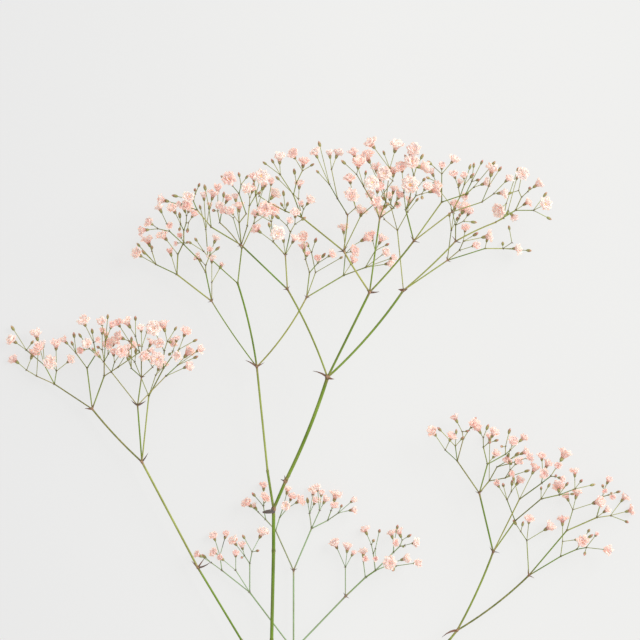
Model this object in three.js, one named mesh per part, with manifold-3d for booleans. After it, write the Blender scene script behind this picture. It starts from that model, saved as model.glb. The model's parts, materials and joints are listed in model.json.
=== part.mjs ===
// A cut stem of gypsophila (baby's breath) with pink double flowers, lying on a surface.
// Millimetres, +Z up. The plan is measured from the main fork, X to the right and Y along the stem
// towards the flowers. Heights are measured from the surface that the stem lies on.
import * as THREE from "three";
import { ConvexHull } from "three/addons/math/ConvexHull.js";
import Module from "manifold-3d";

const wasm = await Module();
wasm.setup();

// Stalks. A stalk thickens with the number of flowers that it feeds, and a long one may be bowed.
const PEDICEL_RADIUS = 0.17;
const THICKENING = 0.27;
const THINNEST_RADIUS = 0.36;
const BEND_LENGTH = 24;
const STEM_SIDES = 8;
const SIDES_ABOVE_RADIUS = [[0.7, STEM_SIDES], [0.5, 6], [0.36, 4], [0, 3]];

// Flowers. What depends on a flower's size is given as a share of its width.
const CALYX_LENGTH = 1.7;
const CALYX_RADIUS = 0.85;
const CALYX_SHARE = 0.22;
const CALYX_SIDES = 5;
const CALYX_FLOWER_WIDTH = 5;
const FOOT_FLARE = 1.15;
const CUP_SHARE = 0.3;
const HOLLOW_SHARE = 0.04;
const PETALS = 5;
const NOTCH = 0.62;
const NOTCH_DROP_SHARE = 0.1;
const PETAL_TURN_RISE = 0.3;
const DOUBLE_FLOWER_WIDTH = 5;
const DOUBLE_FLOWER_LIFT = 2.5;
const LOWEST_LIFT = -0.1;
const HIGHEST_LIFT = 0.7;

// Buds and bracts
const BUD_LENGTH = 3.2;
const BUD_RADIUS = 0.85;
const BUD_BELLY = 0.55;
const BUD_SEAT_SHARE = 0.45;
const BRACT_RADIUS = 0.5;
const BRACT_BELLY = 0.6;
const BRACT_LEAN = 1.6;

// How the small stalks spread. A rise is a share of the way from a fork, counted from a little more.
const LOWEST_RISE = -0.35;
const HIGHEST_RISE = 0.5;
const RISE_START = 3;
const RISE_GROWTH = 1 / 15;
const FLOWERS_PER_FORK = 3;
const RESTING_SHARE = 0.33;
const CLEARANCE = 0.15;
const SHORTEST_STALK = 2.2;
const MOST_BACKWARD = 0.3;
const SHARPEST_BEND = 0.5;
const TRIES = 100;

// The random sequence: the factors that start and drive it, and the length of its cycle
const SEED = 82;
const SEED_FACTOR = 12347;
const PLACE_FACTORS = [61703, 38971];
const GROWTH_FACTOR = 16807;
const CYCLE = 2147483647;

// The hub at a fork: its size as a share of the stalk's radius, and how its faces are laid round it
const HUB_SHARE = 2.1;
const LARGEST_HUB = 2.8;
const HUB_GROWTH = 1.08;
const MOST_TURNED = 0.25;
const FACE_GAP = 0.06;
const SMALLEST_TURN = 0.001;
const SPREADING_ROUNDS = 40;
const STEEP = 0.9;
const ALMOST_NOTHING = 1e-9;

// Pieces
const CYME_FLOWERS = 16;
const NODE_GAP = 0.3;
const SPRAY_STUB = 6;

// The middle of the plan, which is the part's origin, and a block that fills the space below it
const PLAN_MIDDLE = [23.6, -31.1];
const GROUND_DEPTH = 20;
const GROUND_REACH = 900;

const UP = new THREE.Vector3(0, 0, 1);
const EAST = new THREE.Vector3(1, 0, 0);
const STEM_LOOK = { color: 0x8fa04a, roughness: 0.6, metalness: 0 };
const FLOWER_LOOK = { color: 0xf3b7ae, roughness: 0.85, metalness: 0 };

// The plan: forks with what they carry, flowers with their width, and closed buds. A spray is a fork
// whose branch is a piece of its own. After what it carries, a fork may have the length of its bracts,
// and how far the stalk that leads to it bows to its left, as a share of that stalk's length.
const fork = (at, children, bract = 0, bow = 0) => ({ at, children, bract, bow });
const spray = (name, at, children, ...rest) => ({ name, ...fork(at, children, ...rest) });
const flower = (x, y, width) => ({ x, y, width });
const bud = (x, y) => ({ x, y, width: 0 });

const LEFT = spray("branch_left", [-16, -66, 8.5], [
  fork([-38, -29.5, 8], [
    fork([-66, 23.5, 9], [
      fork([-91, 50, 6], [
        fork([-110, 62.5, 4], [
          fork([-119, 66.5, 3], [
            fork([-124, 69.5, 3], [flower(-130, 74.5, 4), flower(-121, 77.5, 4)]),
            flower(-118, 80, 4.5),
          ]),
          fork([-115, 72, 5], [
            fork([-124, 79.5, 5], [bud(-131, 90.5), flower(-131, 84.5, 4.5), bud(-121, 83.5)]),
            flower(-116, 83, 2.5), flower(-119, 87, 4.5),
          ]),
          fork([-109, 69, 4], [
            flower(-112, 73.5, 5.5), flower(-109, 82, 4.5), flower(-102, 74.5, 3.5),
          ]),
        ]),
        fork([-93.5, 70.5, 9], [
          fork([-99, 78, 10], [flower(-105, 84.5, 3.5), bud(-100, 87), bud(-101, 83)]),
          fork([-89, 77.5, 12], [
            flower(-93, 82.5, 4), flower(-96, 79.5, 3), bud(-97, 87), flower(-95, 93.5, 4.5),
            bud(-91, 89), flower(-88, 85, 2.5),
          ]),
        ]),
        fork([-85, 66.5, 6], [
          fork([-85, 74, 6], [
            flower(-86, 93.5, 3.5), bud(-83, 96.5), flower(-81, 92, 3), flower(-86, 89.5, 2.5),
            bud(-88, 81),
            fork([-83, 77.5, 5], [flower(-83, 82, 4.5), flower(-80, 83.5, 4), flower(-84, 87.5, 3)]),
          ]),
          fork([-78, 71, 10], [
            fork([-67, 78.5, 15], [
              flower(-73, 93, 4.5), bud(-69, 95.5), flower(-78, 93, 3.5), flower(-77, 86, 4.5),
            ]),
            flower(-71, 82, 3.5),
          ]),
        ]),
      ], 4, 0.02),
      fork([-68, 52, 18], [
        fork([-81, 68.5, 18], [
          flower(-88, 77.5, 2.5), bud(-90, 80), flower(-80, 78.5, 3), flower(-76, 78.5, 5.5),
        ]),
        fork([-66, 66, 21], [
          fork([-60.5, 71, 23], [flower(-58, 75, 7), flower(-63.5, 77, 4)]),
          fork([-71, 70.5, 22], [flower(-73, 80.5, 3), bud(-73, 75.5), bud(-71, 85)]),
          fork([-66, 75, 24], [
            flower(-66, 90.5, 3), bud(-63, 89.5), flower(-61, 83.5, 3.5), flower(-64, 77, 4),
            flower(-61, 79.5, 2.5), bud(-67, 82),
          ]),
        ], 2),
        fork([-54, 66.5, 15], [
          flower(-43, 71.5, 4),
          fork([-48, 72, 15], [bud(-39, 76), flower(-37, 80, 3.5), flower(-43, 78, 5)]),
        ]),
      ], 4),
      fork([-62.5, 56.5, 13], [
        fork([-59, 67, 15], [flower(-57, 71.5, 4), flower(-54, 72.5, 2.5)]),
        fork([-69.5, 73.5, 12], [flower(-73, 77.5, 3), bud(-69, 79)]),
        fork([-55, 70.5, 19], [
          flower(-51, 83.5, 4), bud(-52, 77.5), flower(-48, 77.5, 4), flower(-57, 83, 4),
          bud(-49, 90.5), flower(-44, 88.5, 4.5), flower(-55, 91.5, 4.5), flower(-60, 90.5, 6),
          bud(-39, 84.5), flower(-48, 85.5, 2.5),
        ]),
      ]),
    ], 4),
  ], 7),
]);

const RIGHT = spray("branch_right", [88, -66, 7], [
  fork([92, -61, 7], [
    fork([110, -21.5, 12], [
      fork([103, 8, 15], [
        fork([92, 24, 13], [
          fork([86, 29.5, 11], [flower(80, 38.5, 4.5), flower(89, 36, 3.5)]),
          fork([91, 31.5, 15], [bud(83, 40), bud(91.5, 39), bud(94.5, 35.5)]),
          fork([95, 35, 12], [flower(91, 45.5, 3.5), flower(100, 42, 4), bud(101, 45), bud(97, 39)]),
        ]),
        fork([107, 22.5, 19], [
          fork([105, 31, 18], [
            flower(102.5, 40, 3.5), bud(107, 41), flower(110, 38, 4), bud(108, 33.5), bud(111.5, 34.5),
          ]),
          fork([116, 27.5, 19], [
            bud(118, 39), flower(120, 33.5, 4), flower(125, 35.5, 3.5), bud(114, 31.5),
            flower(117, 25.5, 3.5),
          ]),
          flower(111, 27.5, 3.5),
        ]),
        fork([108, 14, 11], [
          flower(108.5, 36, 3.5),
          fork([112, 21, 9], [
            bud(122, 27.5), flower(123, 24, 3), flower(126, 28.5, 3.5), flower(128, 26, 3.5),
            bud(119, 22.5),
          ]),
          fork([116, 15.5, 11], [
            flower(119, 17.5, 3), bud(127, 19),
            fork([118.5, 19.5, 12], [bud(118, 24), flower(122, 23.5, 3)]),
          ]),
        ]),
      ], 2),
      fork([123, 5, 18], [
        flower(130.5, 20, 4), bud(120, 15.5),
        fork([134, 13, 20], [
          flower(134, 26.5, 3.5), flower(137, 22.5, 4), flower(135, 18, 3.5), flower(145, 26.5, 5),
          flower(142, 22, 3), bud(141, 17), flower(144, 15.5, 3),
        ]),
      ]),
      fork([121, -6, 10], [
        fork([117, 4.5, 10], [
          flower(112, 12.5, 3), bud(115, 12),
          fork([119, 8.5, 11], [flower(123, 14, 4), bud(119.5, 13)]),
        ]),
        fork([134, 5, 11], [
          bud(134, 10.5), bud(138, 12),
          fork([143, 7, 10], [
            flower(143, 10.5, 4.5), bud(147, 12.5), bud(150, 7.5),
            fork([151, 10, 10], [flower(151, 18.5, 3.5), bud(154, 14), bud(160, 12)]),
          ]),
        ]),
      ]),
    ], 3, -0.02),
    fork([128, -33.5, 5.5], [
      fork([127, -16, 6], [
        fork([124, -11.5, 6], [bud(121, -7), bud(125, -7.5)]),
        flower(128, -5.5, 3.5), flower(138, -9.5, 4.5),
      ]),
      fork([147, -11, 6], [
        fork([150, -0.5, 8], [flower(152, 7.5, 4), flower(147, 6, 3), flower(162, 3.5, 5)]),
        fork([162, -4.5, 4], [
          fork([165, 6, 4], [
            flower(168, 14.5, 3), bud(165, 11.5), flower(166, 9, 2), bud(169, 8), flower(170, 6, 2.5),
            bud(173, 8.5),
          ]),
          flower(167, -0.5, 3),
          fork([169, -3.5, 4], [flower(176, 5.5, 3.5), flower(179, -1, 3.5), bud(177, -6.5)]),
        ]),
      ]),
      fork([144, -24, 3], [
        fork([145, -16.5, 4], [flower(145, -6, 4), bud(152, -15.5)]),
        fork([152, -20.5, 3], [
          flower(154.5, -16.5, 4.5), flower(167, -20.5, 4), bud(156, -22.5), bud(158, -11),
          flower(162, -12.5, 2), bud(159, -14),
        ]),
      ]),
    ], 3, -0.03),
  ], 8),
]);

const BACK = spray("branch_back", [10, -71, 5], [
  fork([-12, -42, 4], [
    fork([-26, -31, 3], [
      flower(-38, -23, 3), bud(-35, -24), flower(-30, -14, 3.5), flower(-24, -13, 3),
      flower(-30, -22, 3.5),
    ]),
    fork([-19, -31, 5], [flower(-19, -22.5, 3), flower(-26.5, -24.5, 3)]),
    fork([-12, -27.5, 4], [
      flower(-20, -16.5, 4), flower(-16, -18.5, 3), bud(-16, -24.5), bud(-15, -14),
      flower(-6, -12.5, 4.5), bud(-8, -21),
    ]),
  ]),
  fork([10, -31, 4], [
    fork([1, -11, 3.5], [
      fork([-4, -5.5, 4], [
        flower(-13, 2.5, 4.5), flower(-10, 1.5, 3), bud(-10, 7), flower(-5, 11.5, 3.5),
        flower(-4, 5, 4),
      ]),
      fork([3, -4.5, 3], [flower(6, 1.5, 4), flower(7, 9.5, 3), flower(9, 6, 3.5), flower(13, 4, 4)]),
    ]),
    fork([19, -10, 4], [
      fork([18, -2.5, 4], [bud(17, 4), flower(20, 8.5, 4), flower(21, 4, 3.5)]),
      fork([23, -1, 6], [flower(24, 8, 3), flower(26, 4.5, 3), flower(22, 10.5, 3.5)]),
      fork([27, -6, 3], [
        flower(31, 6, 4.5), flower(30, 1.5, 3), bud(34, 1.5), flower(40, 4.5, 3), flower(40, -0.5, 3),
      ]),
    ]),
  ], 2),
  fork([36, -44, 5], [
    fork([36, -29.5, 4], [flower(31, -18, 4), flower(37, -19.5, 4), flower(40, -22, 2.5)]),
    fork([46, -34.5, 6], [
      fork([45, -26.5, 4], [flower(45, -22, 3.5), flower(46, -25, 2.5)]),
      fork([51, -31, 7], [
        fork([50, -22.5, 8], [
          flower(46, -11, 3.5), bud(53, -11), bud(50, -16), flower(51, -24.5, 2.5),
        ]),
        fork([60, -22, 6], [
          flower(59, -12.5, 3.5), flower(63, -12, 4), bud(62, -9), flower(61, -17, 3), bud(65, -19),
          flower(71, -17, 3.5), bud(68, -13.5),
        ]),
        fork([57, -28.5, 5], [
          flower(58, -27, 5.5), flower(66, -25, 4), flower(72, -27, 3.5), bud(60, -30.5),
        ]),
      ]),
    ]),
  ], 2),
]);

const HEAD_LEFT = spray("head_left", [-8.4, 71.2, 12], [
  fork([-31, 104, 9], [
    fork([-48.5, 117.5, 8], [
      fork([-59, 122.5, 6], [
        flower(-68, 127.5, 4.5), bud(-68, 132.5), bud(-65, 128.5),
        fork([-61, 129, 7], [flower(-63, 134, 4.5), bud(-61, 131)]),
      ]),
      flower(-52, 129, 3),
      fork([-48, 127.5, 9], [
        flower(-55, 136.5, 4.5),
        fork([-45, 133.5, 10], [
          flower(-47, 137, 2.5), flower(-49, 133, 2),
          fork([-45, 139.5, 11], [
            bud(-47, 140), bud(-43, 139.5), bud(-47, 147), flower(-45, 151, 3.5), flower(-42, 150, 3),
            flower(-40, 147.5, 3.5), flower(-50, 150, 4.5),
          ]),
        ]),
      ]),
    ]),
    fork([-34, 118.5, 11], [
      fork([-38, 125.5, 14], [
        fork([-45, 132.5, 17], [
          fork([-52, 139, 18], [
            flower(-62, 143.5, 3.5), flower(-65, 139.5, 4), flower(-57, 150.5, 3.5),
            flower(-52, 142, 2.5),
          ]),
          bud(-43, 133.5),
        ]),
      ]),
      fork([-34, 122, 11], [
        flower(-38, 126, 3.5),
        fork([-32, 127, 12], [flower(-32, 130, 2.5), flower(-29, 135.5, 3.5), bud(-28, 130.5)]),
      ]),
    ]),
    fork([-31, 113.5, 6], [flower(-31, 125.5, 3.5), flower(-26, 122.5, 2.5)]),
  ], 2, 0.015),
  fork([-18, 113, 8.5], [
    fork([-33, 126.5, 4.5], [
      fork([-35, 129, 4.5], [bud(-39, 135), bud(-42, 133.5)]),
      fork([-34, 140, 5.5], [flower(-35, 157, 3), bud(-37, 151.5), flower(-32, 152.5, 2.5)]),
    ]),
    fork([-16, 130.5, 5], [
      fork([-27, 143.5, 5], [
        flower(-28, 160.5, 4), flower(-27, 151.5, 3.5), bud(-25, 157.5), flower(-23, 155.5, 3.5),
        bud(-30, 149.5),
      ], 0, -0.04),
      fork([-10, 143, 6], [
        flower(-9, 147.5, 3), flower(-1, 149.5, 4.5),
        fork([-8, 151.5, 7], [bud(-5, 161), bud(-10, 162.5), flower(-10, 166, 3.5)]),
      ]),
    ]),
  ], 0, -0.022),
  fork([16.5, 106, 5.5], [
    fork([18, 118.5, 7.5], [
      fork([16, 125, 6], [flower(15, 135.5, 4.5), flower(15, 131, 4), flower(17, 128, 2.5)]),
      fork([22, 123, 4.5], [flower(22, 125.5, 3), bud(25, 127), flower(29, 127.5, 3.5)]),
    ]),
    fork([21, 118.5, 3], [fork([19, 128.5, 3], [bud(21, 134.5), bud(17, 132.5)]), bud(34, 126)]),
    fork([35, 117, 5], [
      flower(40, 124.5, 3.5),
      fork([36, 128, 5], [
        flower(35, 140.5, 4), flower(40, 129.5, 4),
        fork([40, 132, 5], [flower(46, 135.5, 4.5)]),
      ]),
      fork([46, 121, 4], [
        fork([51, 129.5, 4], [flower(49, 137, 4), bud(57, 132.5), flower(54, 135, 4)]),
        flower(56, 128.5, 3.5), flower(58, 123, 4), flower(60, 126, 3),
      ]),
    ]),
  ], 1.5, -0.038),
], 6);

const HEAD_INNER_LEFT = spray("head_inner_left", [7, 110, 31], [
  fork([-16, 132, 35], [
    fork([-31, 141, 34], [
      fork([-38, 149.5, 33], [
        flower(-55, 154.5, 4.5), bud(-49, 156.5), flower(-47, 152.5, 2.5), flower(-43, 152, 4),
        flower(-42, 156, 4), bud(-37, 162), bud(-39, 159.5),
      ]),
      fork([-32, 150, 36], [bud(-34, 160.5), flower(-30, 157, 4)]),
    ]),
    fork([-17, 143, 38], [
      flower(-21, 148.5, 3.5), flower(-17, 151, 4), flower(-19, 156, 3),
      fork([-13.5, 147.5, 41], [
        fork([-17, 157.5, 42], [flower(-22, 165, 5.5), bud(-25, 165.5), bud(-13, 166), bud(-17, 167)]),
      ]),
    ]),
    fork([-20, 145.5, 35], [flower(-24.5, 149, 3.5)]),
    fork([-13, 141.5, 33], [
      fork([-12, 151.5, 31], [
        flower(-13, 159.5, 4), flower(-10, 160, 3), flower(-6, 166.5, 6.5), bud(-4, 161.5),
        bud(-7, 158),
      ]),
    ]),
  ], 2),
  fork([6, 127, 37], [
    fork([0, 133.5, 40], [
      flower(-8, 139.5, 4), flower(2, 137.5, 6), bud(-2, 142),
      fork([-1, 143.5, 43], [flower(-9, 148, 3), flower(-4, 149.5, 6), flower(0, 147.5, 3)]),
    ]),
    fork([8.5, 138.5, 38], [bud(2, 146), flower(8, 144, 3), flower(11, 147.5, 4), bud(15, 145)]),
    bud(5, 134.5), flower(10.5, 135, 3.5),
  ], 1.5),
], 2, -0.025);

const HEAD_INNER_RIGHT = spray("head_inner_right", [70, 134, 33], [
  fork([66, 149.5, 37], [
    fork([65, 158, 35], [flower(64, 170, 4.5), bud(67, 166)]),
    fork([71, 156.5, 41], [
      flower(68, 162, 9), bud(74, 155.5), flower(80, 159, 4.5), flower(76, 160.5, 4), bud(75, 164.5),
    ]),
    fork([68, 155.5, 36], [
      fork([70, 166.5, 39], [
        flower(70, 179.5, 5.5), flower(69, 173.5, 6), flower(74, 171, 5), bud(66, 176), bud(68, 176.5),
        bud(74, 176),
      ]),
    ]),
  ]),
  fork([89, 148.5, 31], [
    fork([104, 153.5, 31], [
      flower(114, 158, 4), bud(113, 170), flower(117, 165, 3.5), flower(109, 169, 5),
    ]),
    fork([93, 156, 35], [
      flower(93, 163.5, 3), bud(98, 171), flower(90, 167, 3.5), bud(99, 166.5), flower(95, 166.5, 3),
    ]),
  ], 2),
  fork([84, 153.5, 27], [
    fork([84, 162, 28], [
      flower(84, 171.5, 3), flower(79, 168.5, 3), bud(78, 173), bud(77, 165.5), bud(78, 162.5),
      flower(90, 174.5, 4),
    ]),
    fork([96, 157.5, 25], [
      flower(96, 157, 3.5), flower(106, 163, 4), bud(102, 164.5), bud(104, 173.5), bud(110, 173),
      bud(100, 172),
    ]),
  ]),
], 3, -0.015);

const HEAD_CENTRE = spray("head_centre", [48, 108.5, 31], [
  fork([35, 129, 34], [
    fork([14, 146, 28], [
      fork([6, 149, 25], [
        bud(4, 152.5), bud(7, 152.5), bud(5, 158),
        fork([-2.5, 153.5, 24], [
          flower(0, 157, 4.5), flower(-1, 163.5, 3), bud(-3.5, 149),
          fork([-7, 156.5, 25], [flower(-5, 162, 3), bud(-9.5, 160.5)]),
        ]),
      ]),
      fork([10, 157, 32], [
        fork([3.5, 167, 32], [bud(-4.5, 173), bud(-0.5, 174), flower(3, 175, 4.5)]),
        fork([11.5, 163, 36], [
          bud(10.5, 168.5),
          fork([14.5, 169, 38], [flower(15, 173, 4.5), bud(19.5, 172), flower(10, 176.5, 4.5)]),
        ]),
      ]),
      fork([12.5, 155, 30], [flower(13, 162.5, 3.5), bud(2, 165.5)]),
      fork([15, 150, 29], [flower(18, 154, 4), flower(14, 152.5, 2.5)]),
    ]),
    fork([43.5, 146.5, 33], [
      flower(44, 148.5, 4.5),
      fork([52.5, 154.5, 31], [
        flower(48, 157.5, 3.5),
        fork([59.5, 164, 33], [flower(60, 168.5, 4), bud(56.5, 167)]),
      ]),
    ]),
    fork([37, 147, 39], [
      fork([32, 155, 40], [
        fork([28, 162, 41], [bud(22, 168.5), flower(21, 177.5, 4), bud(23, 182)]),
        fork([29, 169.5, 43], [flower(28, 177.5, 3), flower(32, 177.5, 4)]),
      ]),
      fork([41, 150.5, 42], [flower(39, 156.5, 5.5), flower(38, 164.5, 4.5)]),
    ], 2, -0.015),
  ], 3, 0.01),
  fork([53, 145.5, 37], [
    fork([51, 150.5, 40], [
      flower(51, 153, 4), flower(49, 156.5, 3), flower(52, 160, 4.5),
      fork([45, 161, 44], [
        flower(49, 163, 7), flower(40, 177.5, 4), bud(46, 168),
        fork([41.5, 167, 45], [bud(35, 173), flower(42.5, 172, 5)]),
      ]),
    ]),
    fork([56, 153.5, 36], [
      bud(53, 164), flower(55, 167.5, 7), flower(51, 170.5, 4), flower(47, 175.5, 5),
      fork([58, 170, 40], [bud(55, 178), flower(61, 180.5, 5), flower(49, 182, 4.5)]),
    ]),
    fork([60, 150.5, 33], [
      flower(54, 150.5, 5), flower(62, 152.5, 3), bud(57, 152.5), flower(63, 156.5, 3.5), bud(62, 159),
      flower(60, 160, 3.5),
    ]),
  ], 2),
  HEAD_INNER_RIGHT,
], 7);

const HEAD_RIGHT = spray("head_right", [65, 109.5, 16], [
  fork([62, 139.5, 14], [
    fork([55.5, 145, 14], [flower(53.5, 148.5, 3.5)]),
    fork([59, 150.5, 14], [flower(58, 156.5, 3.5), bud(55, 155.5)]),
    fork([67, 148.5, 15], [flower(68, 154.5, 3.5), bud(72, 155)]),
  ]),
  fork([91, 134, 22], [
    fork([91, 142, 24], [
      flower(95, 149.5, 5), flower(98, 148.5, 3), bud(100, 143.5), bud(93, 147),
      fork([88.5, 152, 27], [flower(82, 160.5, 4.5)]),
    ]),
    fork([111, 143.5, 21], [
      fork([115, 145.5, 22], [
        bud(122, 170), bud(121.5, 165.5), flower(113, 150, 5), bud(117, 148), flower(120, 146.5, 3.5),
      ]),
      fork([121, 149.5, 19], [
        flower(127, 153.5, 3.5),
        fork([130, 149.5, 18], [flower(136, 152.5, 5.5), bud(136, 157.5), bud(138, 145.5)]),
        fork([124, 156, 20], [
          flower(124, 167.5, 5.5), bud(128, 160.5), flower(132, 162.5, 4), bud(118, 158),
        ]),
      ]),
    ], 0, 0.02),
  ], 3, -0.015),
  fork([87, 124.5, 13], [
    fork([93, 129.5, 13], [
      flower(101, 132, 3.5),
      fork([95, 134, 15], [bud(101, 137.5), flower(107, 136.5, 4.5), flower(96, 140.5, 3.5)]),
    ]),
    fork([106, 130.5, 7], [
      bud(107, 135),
      fork([115, 130.5, 4.5], [
        flower(122, 130.5, 4), bud(128, 129.5), bud(115, 133),
        fork([119.5, 133.5, 6], [bud(118, 141)]),
      ]),
    ]),
    fork([89, 139.5, 10], [flower(91, 152, 4), bud(88, 147.5), bud(92, 145.5)]),
  ], 2),
], 5, -0.03);

const STEM = spray("main_stem", [-6, -246, 1.2], [
  fork([-4, -156, 5.9], [
    RIGHT,
    fork([-3, -111, 8], [
      BACK,
      fork([-2, -91, 9], [
        LEFT,
        fork([-1, -66, 10], [
          fork([0, -21, 12.5], [
            fork([0, 0, 14], [
              fork([-3, 19, 14.5], [HEAD_LEFT]),
              fork([6, 14, 16], [
                fork([27, 66, 24], [HEAD_INNER_LEFT, HEAD_CENTRE, HEAD_RIGHT], 7, -0.02),
              ], 4),
            ], 6),
          ]),
        ]),
      ], 5),
    ], 5),
  ], 5),
]);

// A small random sequence, the same on every run, that starts anew at each place on the plan
let seed = SEED;
function startSequence(x, y) {
  const place = Math.floor(Math.abs(PLACE_FACTORS[0] * x + PLACE_FACTORS[1] * y));
  seed = ((place + SEED_FACTOR * SEED) % (CYCLE - 1)) + 1;
}
function random(low, high) {
  seed = (seed * GROWTH_FACTOR) % CYCLE;
  return low + ((high - low) * seed) / CYCLE;
}

const isFlower = (child) => child.children === undefined;
const sum = (numbers) => numbers.reduce((total, number) => total + number, 0);
const flowersOn = (branch) => (isFlower(branch) ? 1 : sum(branch.children.map(flowersOn)));
const grownRadius = (flowers) => Math.max(THINNEST_RADIUS, PEDICEL_RADIUS * flowers ** THICKENING);
const stalkRadius = (branch) => grownRadius(flowersOn(branch));
const sidesOf = (radius) => SIDES_ABOVE_RADIUS.find(([least]) => radius > least)[1];
const towards = (a, b) => b.clone().sub(a).normalize();
const along = (at, direction, distance) => at.clone().addScaledVector(direction, distance);
const sideOf = (direction) => new THREE.Vector3(-direction.y, direction.x, 0).normalize();

// The line of a stalk between two points, a curve if it is bowed
function stalkLine(from, to, bow = 0) {
  const length = from.distanceTo(to);
  const steps = bow ? Math.max(2, Math.round(length / BEND_LENGTH)) : 1;
  const sideways = sideOf(towards(from, to));
  return Array.from({ length: steps + 1 }, (_, i) => {
    const t = i / steps;
    return from.clone().lerp(to, t).addScaledVector(sideways, 4 * bow * length * t * (1 - t));
  });
}

// Where a flower's calyx sits on its stalk, and which way it faces
function seat(bloom, from) {
  const axis = along(towards(from, bloom.at), UP, bloom.lift).normalize();
  const below = bloom.width ? CALYX_LENGTH + (CUP_SHARE / 2) * bloom.width : BUD_SEAT_SHARE * BUD_LENGTH;
  return { base: along(bloom.at, axis, -below), axis };
}

const stalkEnd = (child, fork) => (isFlower(child) ? seat(child, fork.at).base : child.at);
const calyxRadius = (width) => Math.max(CALYX_RADIUS, CALYX_SHARE * width);

// The shortest distance between two straight pieces
function distanceBetween(a, b) {
  const u = a.to.clone().sub(a.from);
  const v = b.to.clone().sub(b.from);
  const w = a.from.clone().sub(b.from);
  const [uu, vv] = [u.dot(u) + ALMOST_NOTHING, v.dot(v) + ALMOST_NOTHING];
  const [uv, uw, vw] = [u.dot(v), u.dot(w), v.dot(w)];
  const clamp = (value) => Math.min(1, Math.max(0, value));
  const guess = clamp((uv * vw - vv * uw) / (uu * vv - uv * uv + ALMOST_NOTHING));
  const t = clamp((uv * guess + vw) / vv);
  const s = clamp((uv * t - uw) / uu);
  return along(a.from, u, s).distanceTo(along(b.from, v, t));
}

// Everything that has its place: each a straight piece with a radius, and the forks at its ends.
// Two pieces that meet at a fork only have to be clear of each other at their far ends.
const settled = [];
function straight(from, to, radius, ends = []) {
  return { from, to, radius, ends, length: from.distanceTo(to) };
}
const fromPoint = (point, piece) => distanceBetween({ from: point, to: point }, piece);
function clearOf(piece, other) {
  const room = piece.radius + other.radius + CLEARANCE;
  if (piece.from.distanceTo(other.from) > room + piece.length + other.length) return true;
  const fork = piece.ends.find((end) => other.ends.includes(end));
  if (!fork) return distanceBetween(piece, other) > room;
  const farEnd = other.ends[0] === fork ? other.to : other.from;
  return fromPoint(piece.to, other) > room && fromPoint(farEnd, piece) > room;
}
const fits = (piece) => settled.every((other) => clearOf(piece, other));

// Settles the forks of the plan, with the stalks between them
function settleForks(branch, parent) {
  branch.at = new THREE.Vector3(...branch.at);
  branch.parent = parent;
  if (parent) {
    const line = stalkLine(parent.at, branch.at, branch.bow);
    const radius = stalkRadius(branch);
    line.slice(1).forEach((to, i) => settled.push(straight(line[i], to, radius, [parent, branch])));
  }
  branch.children.filter((child) => !isFlower(child)).forEach((child) => settleForks(child, branch));
}

const leavesForward = (stalk, fork) =>
  towards(fork.at, stalk.to).dot(towards(fork.at, fork.parent.at)) < MOST_BACKWARD;

// Tries one height after another until what stands there is clear of everything else
function findHeight(x, y, fork, lowest, attempt) {
  const reach = Math.hypot(x - fork.at.x, y - fork.at.y) + RISE_START;
  for (let tries = 0; tries < TRIES; tries++) {
    const rise = reach * random(LOWEST_RISE, HIGHEST_RISE) * (1 + tries * RISE_GROWTH);
    const pieces = attempt(new THREE.Vector3(x, y, Math.max(fork.at.z + rise, lowest)));
    const [stalk] = pieces;
    const shaped = stalk.length > SHORTEST_STALK && !stalk.bent && leavesForward(stalk, fork);
    if ((shaped && pieces.every(fits)) || tries === TRIES - 1) {
      settled.push(...pieces);
      return;
    }
  }
}

function settleFlower(bloom, fork) {
  startSequence(bloom.x, bloom.y);
  const size = Math.max(bloom.width, 2 * BUD_RADIUS);
  const isDouble = bloom.width > DOUBLE_FLOWER_WIDTH;
  bloom.roll = random(0, 2 * Math.PI);
  bloom.lift = isDouble ? DOUBLE_FLOWER_LIFT : random(LOWEST_LIFT, HIGHEST_LIFT);
  findHeight(bloom.x, bloom.y, fork, RESTING_SHARE * size, (at) => {
    bloom.at = at;
    const { base, axis } = seat(bloom, fork.at);
    const stalk = straight(fork.at, base, THINNEST_RADIUS, [fork]);
    stalk.bent = towards(fork.at, base).dot(axis) < SHARPEST_BEND;
    if (!bloom.width) return [stalk, straight(base, along(base, axis, BUD_LENGTH), BUD_RADIUS)];
    return [stalk, straight(base, at, calyxRadius(bloom.width)), straight(at, at, bloom.width / 2)];
  });
}

// Splits a crowd of flowers into pairs and threes, each on a small fork of its own
function divide(fork, flowers) {
  if (flowers.length <= FLOWERS_PER_FORK) {
    flowers.forEach((bloom) => settleFlower(bloom, fork));
    return flowers;
  }
  const centreOf = (group, key) => sum(group.map((bloom) => bloom[key])) / group.length;
  const middle = [centreOf(flowers, "x") - fork.at.x, centreOf(flowers, "y") - fork.at.y];
  const turn = (bloom) => {
    const [x, y] = [bloom.x - fork.at.x, bloom.y - fork.at.y];
    return Math.atan2(middle[0] * y - middle[1] * x, middle[0] * x + middle[1] * y);
  };
  const sorted = [...flowers].sort((a, b) => turn(a) - turn(b));
  const half = Math.ceil(sorted.length / 2);
  return [sorted.slice(0, half), sorted.slice(half)].map((group) => {
    const small = { parent: fork, children: group };
    const radius = stalkRadius(small);
    const x = (centreOf(group, "x") + fork.at.x) / 2;
    const y = (centreOf(group, "y") + fork.at.y) / 2;
    startSequence(x, y);
    findHeight(x, y, fork, radius, (at) => {
      small.at = at;
      return [straight(fork.at, at, radius, [fork, small])];
    });
    small.children = divide(small, group);
    return small;
  });
}

function settleFlowers(branch) {
  const forks = branch.children.filter((child) => !isFlower(child));
  forks.forEach(settleFlowers);
  branch.children = [...forks, ...divide(branch, branch.children.filter(isFlower))];
}

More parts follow.
